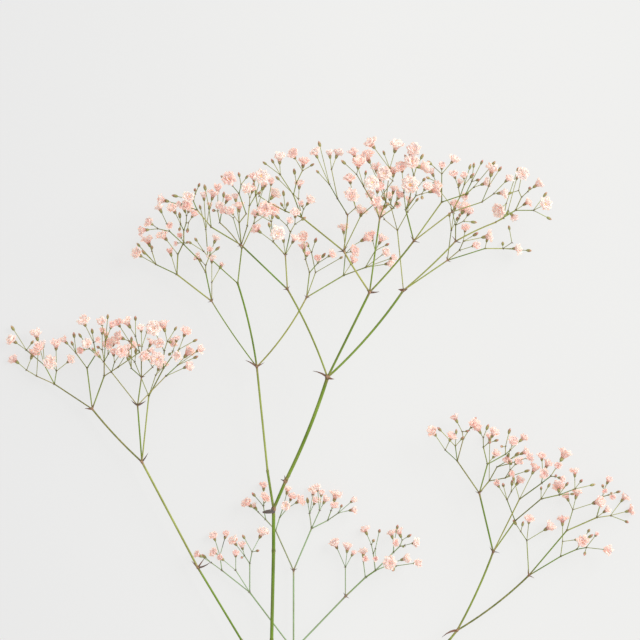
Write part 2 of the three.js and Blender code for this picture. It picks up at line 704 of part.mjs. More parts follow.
// A skin grows ring by ring. A ring is a list of corners, counter-clockwise seen from its tip side.
class Skin {
  points = [];
  triangles = [];

  // Corner 0 lies as near as it can to the side that `first` points to. In a star ring every other
  // corner lies nearer the axis by `notch` and lower by `drop`.
  ring(at, axis, first, radius, sides, { notch = 1, drop = 0 } = {}) {
    const u = along(first, axis, -first.dot(axis)).normalize();
    const v = new THREE.Vector3().crossVectors(axis, u);
    return Array.from({ length: sides }, (_, k) => {
      const angle = (2 * Math.PI * k) / sides;
      const inner = k % 2 === 1;
      const reach = radius * (inner ? notch : 1);
      const point = along(at, u, reach * Math.cos(angle)).addScaledVector(v, reach * Math.sin(angle));
      this.points.push(inner ? along(point, axis, -drop) : point);
      return this.points.length - 1;
    });
  }

  // Joins two rings that may have different numbers of corners
  join(low, high) {
    const turns = high.map((_, k) => this.side(high, k).angleTo(this.side(low)));
    const start = turns.indexOf(Math.min(...turns));
    const lowAt = (i) => low[i % low.length];
    const highAt = (j) => high[(start + j) % high.length];
    let i = 0;
    let j = 0;
    while (i < low.length || j < high.length) {
      if (j === high.length || (i < low.length && (i + 1) / low.length <= (j + 1) / high.length)) {
        this.triangles.push([lowAt(i), lowAt(i + 1), highAt(j)]);
        i += 1;
      } else {
        this.triangles.push([lowAt(i), highAt(j + 1), highAt(j)]);
        j += 1;
      }
    }
  }

  closeStart(ring) {
    for (let k = 1; k < ring.length - 1; k++) this.triangles.push([ring[0], ring[k + 1], ring[k]]);
  }

  closeEnd(ring) {
    for (let k = 1; k < ring.length - 1; k++) this.triangles.push([ring[0], ring[k], ring[k + 1]]);
  }

  closeTip(ring, tip) {
    this.points.push(tip);
    const last = this.points.length - 1;
    ring.forEach((corner, k) => this.triangles.push([corner, ring[(k + 1) % ring.length], last]));
  }

  middle(ring) {
    const total = ring.reduce((point, k) => point.add(this.points[k]), new THREE.Vector3());
    return total.divideScalar(ring.length);
  }

  // Which way a corner of a ring points, to keep the next ring from twisting
  side(ring, corner = 0) {
    return towards(this.middle(ring), this.points[ring[corner]]);
  }

  // A hub joins the stalks that meet at a point: a small ball with a flat face for each of them
  hub(at, reach, stalks) {
    const rings = stalks.map(({ direction, radius, sides }) => {
      const face = along(at, direction, Math.sqrt(reach ** 2 - radius ** 2));
      return this.ring(face, direction, Math.abs(direction.z) < STEEP ? UP : EAST, radius, sides);
    });
    const corners = rings.flat();
    const hull = new ConvexHull().setFromPoints(corners.map((k) => this.points[k]));
    for (const { edge } of hull.faces) {
      const ends = [edge, edge.next, edge.next.next].map((side) => side.head().point);
      const triangle = ends.map((point) => corners.find((k) => this.points[k] === point));
      if (!rings.some((ring) => triangle.every((k) => ring.includes(k)))) this.triangles.push(triangle);
    }
    return rings;
  }

  solid() {
    const vertProperties = Float32Array.from(this.points.flatMap((point) => point.toArray()));
    const triVerts = Uint32Array.from(this.triangles.flat());
    return new wasm.Manifold(new wasm.Mesh({ numProp: 3, vertProperties, triVerts }));
  }
}

// A calyx with a star of petals, or a closed bud, on the stalk that starts at a ring
function growFlower(skin, start, bloom, from) {
  const { width, roll } = bloom;
  const { base, axis } = seat(bloom, from);
  const arriving = towards(from, base).add(axis).normalize();
  const foot = skin.ring(base, arriving, skin.side(start), FOOT_FLARE * THINNEST_RADIUS, start.length);
  skin.join(start, foot);
  if (!width) {
    const widest = along(base, axis, BUD_BELLY * BUD_LENGTH);
    const belly = skin.ring(widest, axis, skin.side(foot), BUD_RADIUS, foot.length + 1);
    skin.join(foot, belly);
    skin.closeTip(belly, along(base, axis, BUD_LENGTH));
    return;
  }
  const rim = CALYX_LENGTH + CUP_SHARE * width;
  const turned = new THREE.Vector3(Math.cos(roll), Math.sin(roll), PETAL_TURN_RISE);
  const star = { notch: NOTCH, drop: NOTCH_DROP_SHARE * width };
  const petals = skin.ring(along(base, axis, rim), axis, turned, width / 2, 2 * PETALS, star);
  let low = foot;
  if (width >= CALYX_FLOWER_WIDTH) {
    const mouth = along(base, axis, CALYX_LENGTH);
    low = skin.ring(mouth, axis, skin.side(foot), calyxRadius(width), CALYX_SIDES);
    skin.join(foot, low);
  }
  skin.join(low, petals);
  skin.closeTip(petals, along(base, axis, rim - HOLLOW_SHARE * width));
}

// A narrow pointed scale
function growBract(skin, start, bract, from) {
  const direction = towards(from, skin.middle(start));
  const widest = along(from, direction, BRACT_BELLY * bract.length);
  const belly = skin.ring(widest, direction, skin.side(start), BRACT_RADIUS, start.length);
  skin.join(start, belly);
  skin.closeTip(belly, along(from, direction, bract.length));
}

// The pieces: each has a name, a look and its skin
const pieces = [];
function newPiece(name, look) {
  const piece = { name, look, skin: new Skin() };
  pieces.push(piece);
  return piece;
}

// What meets at a fork: first the stalk that carries it, then its branches, flowers and bracts
function meetingAt(branch, arriving) {
  const stalk = (direction, radius, rest) => ({ direction, radius, sides: sidesOf(radius), ...rest });
  const meeting = [stalk(arriving.clone().negate(), stalkRadius(branch), {})];
  for (const child of branch.children) {
    const [, bend] = stalkLine(branch.at, stalkEnd(child, branch), child.bow);
    const grow = isFlower(child) ? growFlower : growBranch;
    meeting.push(stalk(towards(branch.at, bend), stalkRadius(child), { child, grow }));
  }
  if (branch.bract) {
    for (const hand of [-1, 1]) {
      const direction = along(arriving, sideOf(arriving), BRACT_LEAN * hand).normalize();
      const child = { length: stalkRadius(branch) + branch.bract };
      meeting.push(stalk(direction, THINNEST_RADIUS, { child, grow: growBract }));
    }
  }
  return meeting;
}

// Turns what meets at a fork apart until each has room for its own face on the hub, and tells how
// far that turned the one that turned most
function spreadOut(meeting, reach) {
  const before = meeting.map((stalk) => stalk.direction);
  const halfAngle = (stalk) => Math.asin(Math.min(1, stalk.radius / reach));
  for (let round = 0; round < SPREADING_ROUNDS; round++) {
    let moved = false;
    for (let i = 0; i < meeting.length; i++) {
      for (let j = i + 1; j < meeting.length; j++) {
        const [a, b] = [meeting[i], meeting[j]];
        const missing = halfAngle(a) + halfAngle(b) + FACE_GAP - a.direction.angleTo(b.direction);
        if (missing > SMALLEST_TURN) {
          const hinge = new THREE.Vector3().crossVectors(a.direction, b.direction).normalize();
          b.direction = b.direction.clone().applyAxisAngle(hinge, i === 0 ? missing : missing / 2);
          if (i > 0) a.direction = a.direction.clone().applyAxisAngle(hinge, -missing / 2);
          moved = true;
        }
      }
    }
    if (!moved) return Math.max(...meeting.map((stalk, i) => stalk.direction.angleTo(before[i])));
  }
  return Infinity;
}

// Where the stalks that meet at a fork leave its hub. The hub grows until they hardly have to turn,
// or until it reaches half the way to the nearest thing that it carries.
function faceOut(branch, arriving) {
  const radius = stalkRadius(branch);
  const neighbours = [branch.parent.at, ...branch.children.map((child) => stalkEnd(child, branch))];
  const nearest = Math.min(...neighbours.map((at) => branch.at.distanceTo(at)));
  const furthest = Math.min(LARGEST_HUB * radius, nearest / 2);
  for (let reach = HUB_SHARE * radius; ; reach *= HUB_GROWTH) {
    const meeting = meetingAt(branch, arriving);
    const turned = spreadOut(meeting, reach);
    if (turned < MOST_TURNED || (turned < Infinity && reach > furthest)) return { meeting, reach };
  }
}

function growFork(piece, start, branch, arriving, spray) {
  const { skin } = piece;
  const { meeting, reach } = faceOut(branch, arriving);
  const faces = skin.hub(branch.at, reach, meeting);
  const arrival = [...faces[0]].reverse();
  if (start) skin.join(start, arrival);
  else skin.closeStart(arrival);
  meeting.slice(1).forEach(({ child, grow }, i) => {
    grow(grow === growBranch ? piece : skin, faces[i + 1], child, branch.at, spray);
  });
}

// Runs a stalk along a line, with a ring at each point of it before number `end`
function runAlong(skin, start, line, end, radius) {
  let last = start;
  for (let i = 1; i < end; i++) {
    const axis = towards(line[i - 1], line[i + 1] ?? line[i]);
    const next = skin.ring(line[i], axis, skin.side(last), radius, last.length);
    skin.join(last, next);
    last = next;
  }
  return last;
}

const isCyme = (branch) => flowersOn(branch) <= CYME_FLOWERS && branch.children.length > 1;

// Grows a branch from the ring at which it leaves the point `from`
function growBranch(piece, start, branch, from, spray) {
  const { skin } = piece;
  const radius = stalkRadius(branch);
  const line = stalkLine(from, branch.at, branch.bow);
  const arriving = towards(line.at(-2), line.at(-1));
  if (branch.name) {
    growSpray(skin, start, branch, from, line);
  } else if (piece.look === STEM_LOOK && isCyme(branch)) {
    const { reach } = faceOut(branch, arriving);
    line[line.length - 1] = along(branch.at, arriving, -Math.sqrt(reach ** 2 - radius ** 2) - NODE_GAP);
    skin.closeEnd(runAlong(skin, start, line, line.length, radius));
    const number = pieces.filter((p) => p.name.startsWith(`cyme_${spray}_`)).length + 1;
    const cyme = newPiece(`cyme_${spray}_${String(number).padStart(2, "0")}`, FLOWER_LOOK);
    growFork(cyme, null, branch, arriving, spray);
  } else {
    const last = runAlong(skin, start, line, line.length - 1, radius);
    growFork(piece, last, branch, arriving, spray);
  }
}

// Ends the stem in a stub, and goes on from there with a spray, which is a piece of its own
function growSpray(skin, start, branch, from, line) {
  const radius = stalkRadius(branch);
  const leaving = towards(from, skin.middle(start));
  const stubEnd = along(from, leaving, SPRAY_STUB);
  const stub = skin.ring(stubEnd, leaving, skin.side(start), radius, start.length);
  skin.join(start, stub);
  skin.closeEnd(stub);
  const piece = newPiece(branch.name, STEM_LOOK);
  const first = piece.skin.ring(along(stubEnd, leaving, NODE_GAP), leaving, UP, radius, start.length);
  piece.skin.closeStart(first);
  const last = runAlong(piece.skin, first, line, line.length - 1, radius);
  growFork(piece, last, branch, towards(line.at(-2), line.at(-1)), branch.name);
}

settleForks(STEM, null);
settleFlowers(STEM);
const mainStem = newPiece("main_stem", STEM_LOOK);
const [firstFork] = STEM.children;
const upstream = towards(STEM.at, firstFork.at);
const cutEnd = mainStem.skin.ring(STEM.at, upstream, UP, stalkRadius(STEM), STEM_SIDES);
mainStem.skin.closeStart(cutEnd);
growBranch(mainStem, cutEnd, firstFork, STEM.at, "main_stem");

// What would reach below the surface is pressed flat on it
const ground = new Skin();
const groundFace = (z) => ground.ring(new THREE.Vector3(0, 0, z), UP, EAST, GROUND_REACH, 4);
const [bottom, top] = [groundFace(-GROUND_DEPTH), groundFace(0)];
ground.closeStart(bottom);
ground.join(bottom, top);
ground.closeEnd(top);
const below = ground.solid();

const group = new THREE.Group();
for (const { name, look, skin } of pieces) {
  let solid = skin.solid();
  if (solid.boundingBox().min[2] < 0) solid = solid.subtract(below);
  const { vertProperties, triVerts } = solid.getMesh();
  const geometry = new THREE.BufferGeometry();
  geometry.setAttribute("position", new THREE.BufferAttribute(vertProperties, 3));
  geometry.setIndex(new THREE.BufferAttribute(triVerts, 1));
  const mesh = new THREE.Mesh(geometry, new THREE.MeshStandardMaterial(look));
  mesh.name = name;
  mesh.position.set(-PLAN_MIDDLE[0], -PLAN_MIDDLE[1], 0);
  group.add(mesh);
}

export default group;
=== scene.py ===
# %% [markdown]
# # A cut stem of pink gypsophila
#
# Gypsophila, or baby's breath, is a cloud of very small flowers on a wiry stem that forks again and
# again. This lesson dresses a plain solid model of one cut stem, which lies on a table, with fine
# pieces: green stalks with swollen joints, dark pointed bracts, striped calyces, closed buds and
# double pink flowers. The first cell loads the solid model. It is the frame that everything fits.

# %% Load the frame
import json
import math
from dataclasses import dataclass, field
from random import Random

import bmesh
import bpy
import numpy as np
from mathutils import Matrix, Vector

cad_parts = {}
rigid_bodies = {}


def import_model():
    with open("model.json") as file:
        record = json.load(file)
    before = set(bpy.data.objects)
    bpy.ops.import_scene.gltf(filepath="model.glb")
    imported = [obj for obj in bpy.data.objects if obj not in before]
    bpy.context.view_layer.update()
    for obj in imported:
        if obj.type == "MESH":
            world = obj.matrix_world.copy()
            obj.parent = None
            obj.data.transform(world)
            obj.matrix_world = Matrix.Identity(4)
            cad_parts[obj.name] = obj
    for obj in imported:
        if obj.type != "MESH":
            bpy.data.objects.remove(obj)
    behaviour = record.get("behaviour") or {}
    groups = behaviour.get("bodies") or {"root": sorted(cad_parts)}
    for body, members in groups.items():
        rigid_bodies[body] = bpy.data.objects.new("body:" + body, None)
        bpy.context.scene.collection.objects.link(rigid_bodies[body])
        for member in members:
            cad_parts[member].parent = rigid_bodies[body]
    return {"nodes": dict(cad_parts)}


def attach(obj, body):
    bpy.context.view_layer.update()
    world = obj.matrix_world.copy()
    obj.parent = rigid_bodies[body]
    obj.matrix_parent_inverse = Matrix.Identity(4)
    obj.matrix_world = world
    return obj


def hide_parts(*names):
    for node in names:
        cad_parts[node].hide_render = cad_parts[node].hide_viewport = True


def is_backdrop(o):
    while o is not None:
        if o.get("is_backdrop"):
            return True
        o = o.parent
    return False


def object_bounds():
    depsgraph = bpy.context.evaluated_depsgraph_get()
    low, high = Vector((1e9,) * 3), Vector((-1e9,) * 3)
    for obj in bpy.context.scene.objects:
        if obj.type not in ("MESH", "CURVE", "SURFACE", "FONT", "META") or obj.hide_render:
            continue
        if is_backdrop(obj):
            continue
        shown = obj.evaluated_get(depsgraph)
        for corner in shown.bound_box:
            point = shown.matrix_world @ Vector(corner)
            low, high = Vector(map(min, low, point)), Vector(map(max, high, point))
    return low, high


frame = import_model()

solid_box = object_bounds()
print("solid pieces:", len(frame["nodes"]))

# %% [markdown]
# ## The plan of the plant
#
# The real stem forks some three hundred times, and no formula gives its exact branches. So the plan
# is a given list: each fork has its place, what it carries, the length of its bracts and how
# far its branch is bowed to the left, each flower has its place and width, and a closed bud has its
# place. Numbers are millimetres, and a bow is a share of the branch's length. X runs to the right and
# Y along the stem from the main fork, and a fork also has its height over the table. A spray is a
# fork whose branch is a piece of its own. Two small classes and four functions keep the list
# readable: what a fork carries is written inside its brackets.

# %% What the plan is made of
@dataclass
class Fork:
    at: tuple
    children: list
    bract: float = 0
    bow: float = 0
    name: str = ""
    parent: object = None


@dataclass
class Bloom:
    x: float
    y: float
    width: float
    at: tuple = ()
    roll: float = 0
    lift: float = 0


def fork(x, y, z, *children, bract=0, bow=0, name=""):
    return Fork((x, y, z), list(children), bract, bow, name)


def spray(name, *place_and_children, **shape):
    return fork(*place_and_children, **shape, name=name)


def flower(x, y, width):
    return Bloom(x, y, width)


def bud(x, y):
    return Bloom(x, y, 0)


# %% The left branch
LEFT = spray("branch_left", -16, -66, 8.5,
    fork(-38, -29.5, 8,
        fork(-66, 23.5, 9,
            fork(-91, 50, 6,
                fork(-110, 62.5, 4,
                    fork(-119, 66.5, 3,
                        fork(-124, 69.5, 3, flower(-130, 74.5, 4), flower(-121, 77.5, 4)),
                        flower(-118, 80, 4.5)),
                    fork(-115, 72, 5,
                        fork(-124, 79.5, 5,
                            bud(-131, 90.5), flower(-131, 84.5, 4.5), bud(-121, 83.5)),
                        flower(-116, 83, 2.5), flower(-119, 87, 4.5)),
                    fork(-109, 69, 4,
                        flower(-112, 73.5, 5.5), flower(-109, 82, 4.5), flower(-102, 74.5, 3.5))),
                fork(-93.5, 70.5, 9,
                    fork(-99, 78, 10, flower(-105, 84.5, 3.5), bud(-100, 87), bud(-101, 83)),
                    fork(-89, 77.5, 12,
                        flower(-93, 82.5, 4), flower(-96, 79.5, 3), bud(-97, 87),
                        flower(-95, 93.5, 4.5), bud(-91, 89), flower(-88, 85, 2.5))),
                fork(-85, 66.5, 6,
                    fork(-85, 74, 6,
                        flower(-86, 93.5, 3.5), bud(-83, 96.5), flower(-81, 92, 3),
                        flower(-86, 89.5, 2.5), bud(-88, 81),
                        fork(-83, 77.5, 5,
                            flower(-83, 82, 4.5), flower(-80, 83.5, 4), flower(-84, 87.5, 3))),
                    fork(-78, 71, 10,
                        fork(-67, 78.5, 15,
                            flower(-73, 93, 4.5), bud(-69, 95.5), flower(-78, 93, 3.5),
                            flower(-77, 86, 4.5)),
                        flower(-71, 82, 3.5))),
                bract=4, bow=0.02),
            fork(-68, 52, 18,
                fork(-81, 68.5, 18,
                    flower(-88, 77.5, 2.5), bud(-90, 80), flower(-80, 78.5, 3),
                    flower(-76, 78.5, 5.5)),
                fork(-66, 66, 21,
                    fork(-60.5, 71, 23, flower(-58, 75, 7), flower(-63.5, 77, 4)),
                    fork(-71, 70.5, 22, flower(-73, 80.5, 3), bud(-73, 75.5), bud(-71, 85)),
                    fork(-66, 75, 24,
                        flower(-66, 90.5, 3), bud(-63, 89.5), flower(-61, 83.5, 3.5),
                        flower(-64, 77, 4), flower(-61, 79.5, 2.5), bud(-67, 82)),
                    bract=2),
                fork(-54, 66.5, 15,
                    flower(-43, 71.5, 4),
                    fork(-48, 72, 15, bud(-39, 76), flower(-37, 80, 3.5), flower(-43, 78, 5))),
                bract=4),
            fork(-62.5, 56.5, 13,
                fork(-59, 67, 15, flower(-57, 71.5, 4), flower(-54, 72.5, 2.5)),
                fork(-69.5, 73.5, 12, flower(-73, 77.5, 3), bud(-69, 79)),
                fork(-55, 70.5, 19,
                    flower(-51, 83.5, 4), bud(-52, 77.5), flower(-48, 77.5, 4),
                    flower(-57, 83, 4), bud(-49, 90.5), flower(-44, 88.5, 4.5),
                    flower(-55, 91.5, 4.5), flower(-60, 90.5, 6), bud(-39, 84.5),
                    flower(-48, 85.5, 2.5))),
            bract=4),
        bract=7))

# %% The right branch
RIGHT = spray("branch_right", 88, -66, 7,
    fork(92, -61, 7,
        fork(110, -21.5, 12,
            fork(103, 8, 15,
                fork(92, 24, 13,
                    fork(86, 29.5, 11, flower(80, 38.5, 4.5), flower(89, 36, 3.5)),
                    fork(91, 31.5, 15, bud(83, 40), bud(91.5, 39), bud(94.5, 35.5)),
                    fork(95, 35, 12,
                        flower(91, 45.5, 3.5), flower(100, 42, 4), bud(101, 45), bud(97, 39))),
                fork(107, 22.5, 19,
                    fork(105, 31, 18,
                        flower(102.5, 40, 3.5), bud(107, 41), flower(110, 38, 4),
                        bud(108, 33.5), bud(111.5, 34.5)),
                    fork(116, 27.5, 19,
                        bud(118, 39), flower(120, 33.5, 4), flower(125, 35.5, 3.5),
                        bud(114, 31.5), flower(117, 25.5, 3.5)),
                    flower(111, 27.5, 3.5)),
                fork(108, 14, 11,
                    flower(108.5, 36, 3.5),
                    fork(112, 21, 9,
                        bud(122, 27.5), flower(123, 24, 3), flower(126, 28.5, 3.5),
                        flower(128, 26, 3.5), bud(119, 22.5)),
                    fork(116, 15.5, 11,
                        flower(119, 17.5, 3), bud(127, 19),
                        fork(118.5, 19.5, 12, bud(118, 24), flower(122, 23.5, 3)))),
                bract=2),
            fork(123, 5, 18,
                flower(130.5, 20, 4), bud(120, 15.5),
                fork(134, 13, 20,
                    flower(134, 26.5, 3.5), flower(137, 22.5, 4), flower(135, 18, 3.5),
                    flower(145, 26.5, 5), flower(142, 22, 3), bud(141, 17), flower(144, 15.5, 3))),
            fork(121, -6, 10,
                fork(117, 4.5, 10,
                    flower(112, 12.5, 3), bud(115, 12),
                    fork(119, 8.5, 11, flower(123, 14, 4), bud(119.5, 13))),
                fork(134, 5, 11,
                    bud(134, 10.5), bud(138, 12),
                    fork(143, 7, 10,
                        flower(143, 10.5, 4.5), bud(147, 12.5), bud(150, 7.5),
                        fork(151, 10, 10, flower(151, 18.5, 3.5), bud(154, 14), bud(160, 12))))),
            bract=3, bow=-0.02),
        fork(128, -33.5, 5.5,
            fork(127, -16, 6,
                fork(124, -11.5, 6, bud(121, -7), bud(125, -7.5)),
                flower(128, -5.5, 3.5), flower(138, -9.5, 4.5)),
            fork(147, -11, 6,
                fork(150, -0.5, 8, flower(152, 7.5, 4), flower(147, 6, 3), flower(162, 3.5, 5)),
                fork(162, -4.5, 4,
                    fork(165, 6, 4,
                        flower(168, 14.5, 3), bud(165, 11.5), flower(166, 9, 2), bud(169, 8),
                        flower(170, 6, 2.5), bud(173, 8.5)),
                    flower(167, -0.5, 3),
                    fork(169, -3.5, 4,
                        flower(176, 5.5, 3.5), flower(179, -1, 3.5), bud(177, -6.5)))),
            fork(144, -24, 3,
                fork(145, -16.5, 4, flower(145, -6, 4), bud(152, -15.5)),
                fork(152, -20.5, 3,
                    flower(154.5, -16.5, 4.5), flower(167, -20.5, 4), bud(156, -22.5),
                    bud(158, -11), flower(162, -12.5, 2), bud(159, -14))),
            bract=3, bow=-0.03),
        bract=8))

# %% The branch behind the stem
BACK = spray("branch_back", 10, -71, 5,
    fork(-12, -42, 4,
        fork(-26, -31, 3,
            flower(-38, -23, 3), bud(-35, -24), flower(-30, -14, 3.5), flower(-24, -13, 3),
            flower(-30, -22, 3.5)),
        fork(-19, -31, 5, flower(-19, -22.5, 3), flower(-26.5, -24.5, 3)),
        fork(-12, -27.5, 4,
            flower(-20, -16.5, 4), flower(-16, -18.5, 3), bud(-16, -24.5), bud(-15, -14),
            flower(-6, -12.5, 4.5), bud(-8, -21))),
    fork(10, -31, 4,
        fork(1, -11, 3.5,
            fork(-4, -5.5, 4,
                flower(-13, 2.5, 4.5), flower(-10, 1.5, 3), bud(-10, 7), flower(-5, 11.5, 3.5),
                flower(-4, 5, 4)),
            fork(3, -4.5, 3,
                flower(6, 1.5, 4), flower(7, 9.5, 3), flower(9, 6, 3.5), flower(13, 4, 4))),
        fork(19, -10, 4,
            fork(18, -2.5, 4, bud(17, 4), flower(20, 8.5, 4), flower(21, 4, 3.5)),
            fork(23, -1, 6, flower(24, 8, 3), flower(26, 4.5, 3), flower(22, 10.5, 3.5)),
            fork(27, -6, 3,
                flower(31, 6, 4.5), flower(30, 1.5, 3), bud(34, 1.5), flower(40, 4.5, 3),
                flower(40, -0.5, 3))),
        bract=2),
    fork(36, -44, 5,
        fork(36, -29.5, 4, flower(31, -18, 4), flower(37, -19.5, 4), flower(40, -22, 2.5)),
        fork(46, -34.5, 6,
            fork(45, -26.5, 4, flower(45, -22, 3.5), flower(46, -25, 2.5)),
            fork(51, -31, 7,
                fork(50, -22.5, 8,
                    flower(46, -11, 3.5), bud(53, -11), bud(50, -16), flower(51, -24.5, 2.5)),
                fork(60, -22, 6,
                    flower(59, -12.5, 3.5), flower(63, -12, 4), bud(62, -9), flower(61, -17, 3),
                    bud(65, -19), flower(71, -17, 3.5), bud(68, -13.5)),
                fork(57, -28.5, 5,
                    flower(58, -27, 5.5), flower(66, -25, 4), flower(72, -27, 3.5), bud(60, -30.5)))),
        bract=2))

# %% The head's left spray
HEAD_LEFT = spray("head_left", -8.4, 71.2, 12,
    fork(-31, 104, 9,
        fork(-48.5, 117.5, 8,
            fork(-59, 122.5, 6,
                flower(-68, 127.5, 4.5), bud(-68, 132.5), bud(-65, 128.5),
                fork(-61, 129, 7, flower(-63, 134, 4.5), bud(-61, 131))),
            flower(-52, 129, 3),
            fork(-48, 127.5, 9,
                flower(-55, 136.5, 4.5),
                fork(-45, 133.5, 10,
                    flower(-47, 137, 2.5), flower(-49, 133, 2),
                    fork(-45, 139.5, 11,
                        bud(-47, 140), bud(-43, 139.5), bud(-47, 147), flower(-45, 151, 3.5),
                        flower(-42, 150, 3), flower(-40, 147.5, 3.5), flower(-50, 150, 4.5))))),
        fork(-34, 118.5, 11,
            fork(-38, 125.5, 14,
                fork(-45, 132.5, 17,
                    fork(-52, 139, 18,
                        flower(-62, 143.5, 3.5), flower(-65, 139.5, 4), flower(-57, 150.5, 3.5),
                        flower(-52, 142, 2.5)),
                    bud(-43, 133.5))),
            fork(-34, 122, 11,
                flower(-38, 126, 3.5),
                fork(-32, 127, 12, flower(-32, 130, 2.5), flower(-29, 135.5, 3.5), bud(-28, 130.5)))),
        fork(-31, 113.5, 6, flower(-31, 125.5, 3.5), flower(-26, 122.5, 2.5)),
        bract=2, bow=0.015),
    fork(-18, 113, 8.5,
        fork(-33, 126.5, 4.5,
            fork(-35, 129, 4.5, bud(-39, 135), bud(-42, 133.5)),
            fork(-34, 140, 5.5, flower(-35, 157, 3), bud(-37, 151.5), flower(-32, 152.5, 2.5))),
        fork(-16, 130.5, 5,
            fork(-27, 143.5, 5,
                flower(-28, 160.5, 4), flower(-27, 151.5, 3.5), bud(-25, 157.5),
                flower(-23, 155.5, 3.5), bud(-30, 149.5),
                bow=-0.04),
            fork(-10, 143, 6,
                flower(-9, 147.5, 3), flower(-1, 149.5, 4.5),
                fork(-8, 151.5, 7, bud(-5, 161), bud(-10, 162.5), flower(-10, 166, 3.5)))),
        bow=-0.022),
    fork(16.5, 106, 5.5,
        fork(18, 118.5, 7.5,
            fork(16, 125, 6, flower(15, 135.5, 4.5), flower(15, 131, 4), flower(17, 128, 2.5)),
            fork(22, 123, 4.5, flower(22, 125.5, 3), bud(25, 127), flower(29, 127.5, 3.5))),
        fork(21, 118.5, 3, fork(19, 128.5, 3, bud(21, 134.5), bud(17, 132.5)), bud(34, 126)),
        fork(35, 117, 5,
            flower(40, 124.5, 3.5),
            fork(36, 128, 5,
                flower(35, 140.5, 4), flower(40, 129.5, 4),
                fork(40, 132, 5, flower(46, 135.5, 4.5))),
            fork(46, 121, 4,
                fork(51, 129.5, 4, flower(49, 137, 4), bud(57, 132.5), flower(54, 135, 4)),
                flower(56, 128.5, 3.5), flower(58, 123, 4), flower(60, 126, 3))),
        bract=1.5, bow=-0.038),
    bract=6)

# %% The head's inner left spray
HEAD_INNER_LEFT = spray("head_inner_left", 7, 110, 31,
    fork(-16, 132, 35,
        fork(-31, 141, 34,
            fork(-38, 149.5, 33,
                flower(-55, 154.5, 4.5), bud(-49, 156.5), flower(-47, 152.5, 2.5),
                flower(-43, 152, 4), flower(-42, 156, 4), bud(-37, 162), bud(-39, 159.5)),
            fork(-32, 150, 36, bud(-34, 160.5), flower(-30, 157, 4))),
        fork(-17, 143, 38,
            flower(-21, 148.5, 3.5), flower(-17, 151, 4), flower(-19, 156, 3),
            fork(-13.5, 147.5, 41,
                fork(-17, 157.5, 42,
                    flower(-22, 165, 5.5), bud(-25, 165.5), bud(-13, 166), bud(-17, 167)))),
        fork(-20, 145.5, 35, flower(-24.5, 149, 3.5)),
        fork(-13, 141.5, 33,
            fork(-12, 151.5, 31,
                flower(-13, 159.5, 4), flower(-10, 160, 3), flower(-6, 166.5, 6.5), bud(-4, 161.5),
                bud(-7, 158))),
        bract=2),
    fork(6, 127, 37,
        fork(0, 133.5, 40,
            flower(-8, 139.5, 4), flower(2, 137.5, 6), bud(-2, 142),
            fork(-1, 143.5, 43, flower(-9, 148, 3), flower(-4, 149.5, 6), flower(0, 147.5, 3))),
        fork(8.5, 138.5, 38, bud(2, 146), flower(8, 144, 3), flower(11, 147.5, 4), bud(15, 145)),
        bud(5, 134.5), flower(10.5, 135, 3.5),
        bract=1.5),
    bract=2, bow=-0.025)

# %% The head's inner right spray
HEAD_INNER_RIGHT = spray("head_inner_right", 70, 134, 33,
    fork(66, 149.5, 37,
        fork(65, 158, 35, flower(64, 170, 4.5), bud(67, 166)),
        fork(71, 156.5, 41,
            flower(68, 162, 9), bud(74, 155.5), flower(80, 159, 4.5), flower(76, 160.5, 4),
            bud(75, 164.5)),
        fork(68, 155.5, 36,
            fork(70, 166.5, 39,
                flower(70, 179.5, 5.5), flower(69, 173.5, 6), flower(74, 171, 5), bud(66, 176),
                bud(68, 176.5), bud(74, 176)))),
    fork(89, 148.5, 31,
        fork(104, 153.5, 31,
            flower(114, 158, 4), bud(113, 170), flower(117, 165, 3.5), flower(109, 169, 5)),
        fork(93, 156, 35,
            flower(93, 163.5, 3), bud(98, 171), flower(90, 167, 3.5), bud(99, 166.5),
            flower(95, 166.5, 3)),
        bract=2),
    fork(84, 153.5, 27,
        fork(84, 162, 28,
            flower(84, 171.5, 3), flower(79, 168.5, 3), bud(78, 173), bud(77, 165.5), bud(78, 162.5),
            flower(90, 174.5, 4)),
        fork(96, 157.5, 25,
            flower(96, 157, 3.5), flower(106, 163, 4), bud(102, 164.5), bud(104, 173.5),
            bud(110, 173), bud(100, 172))),
    bract=3, bow=-0.015)

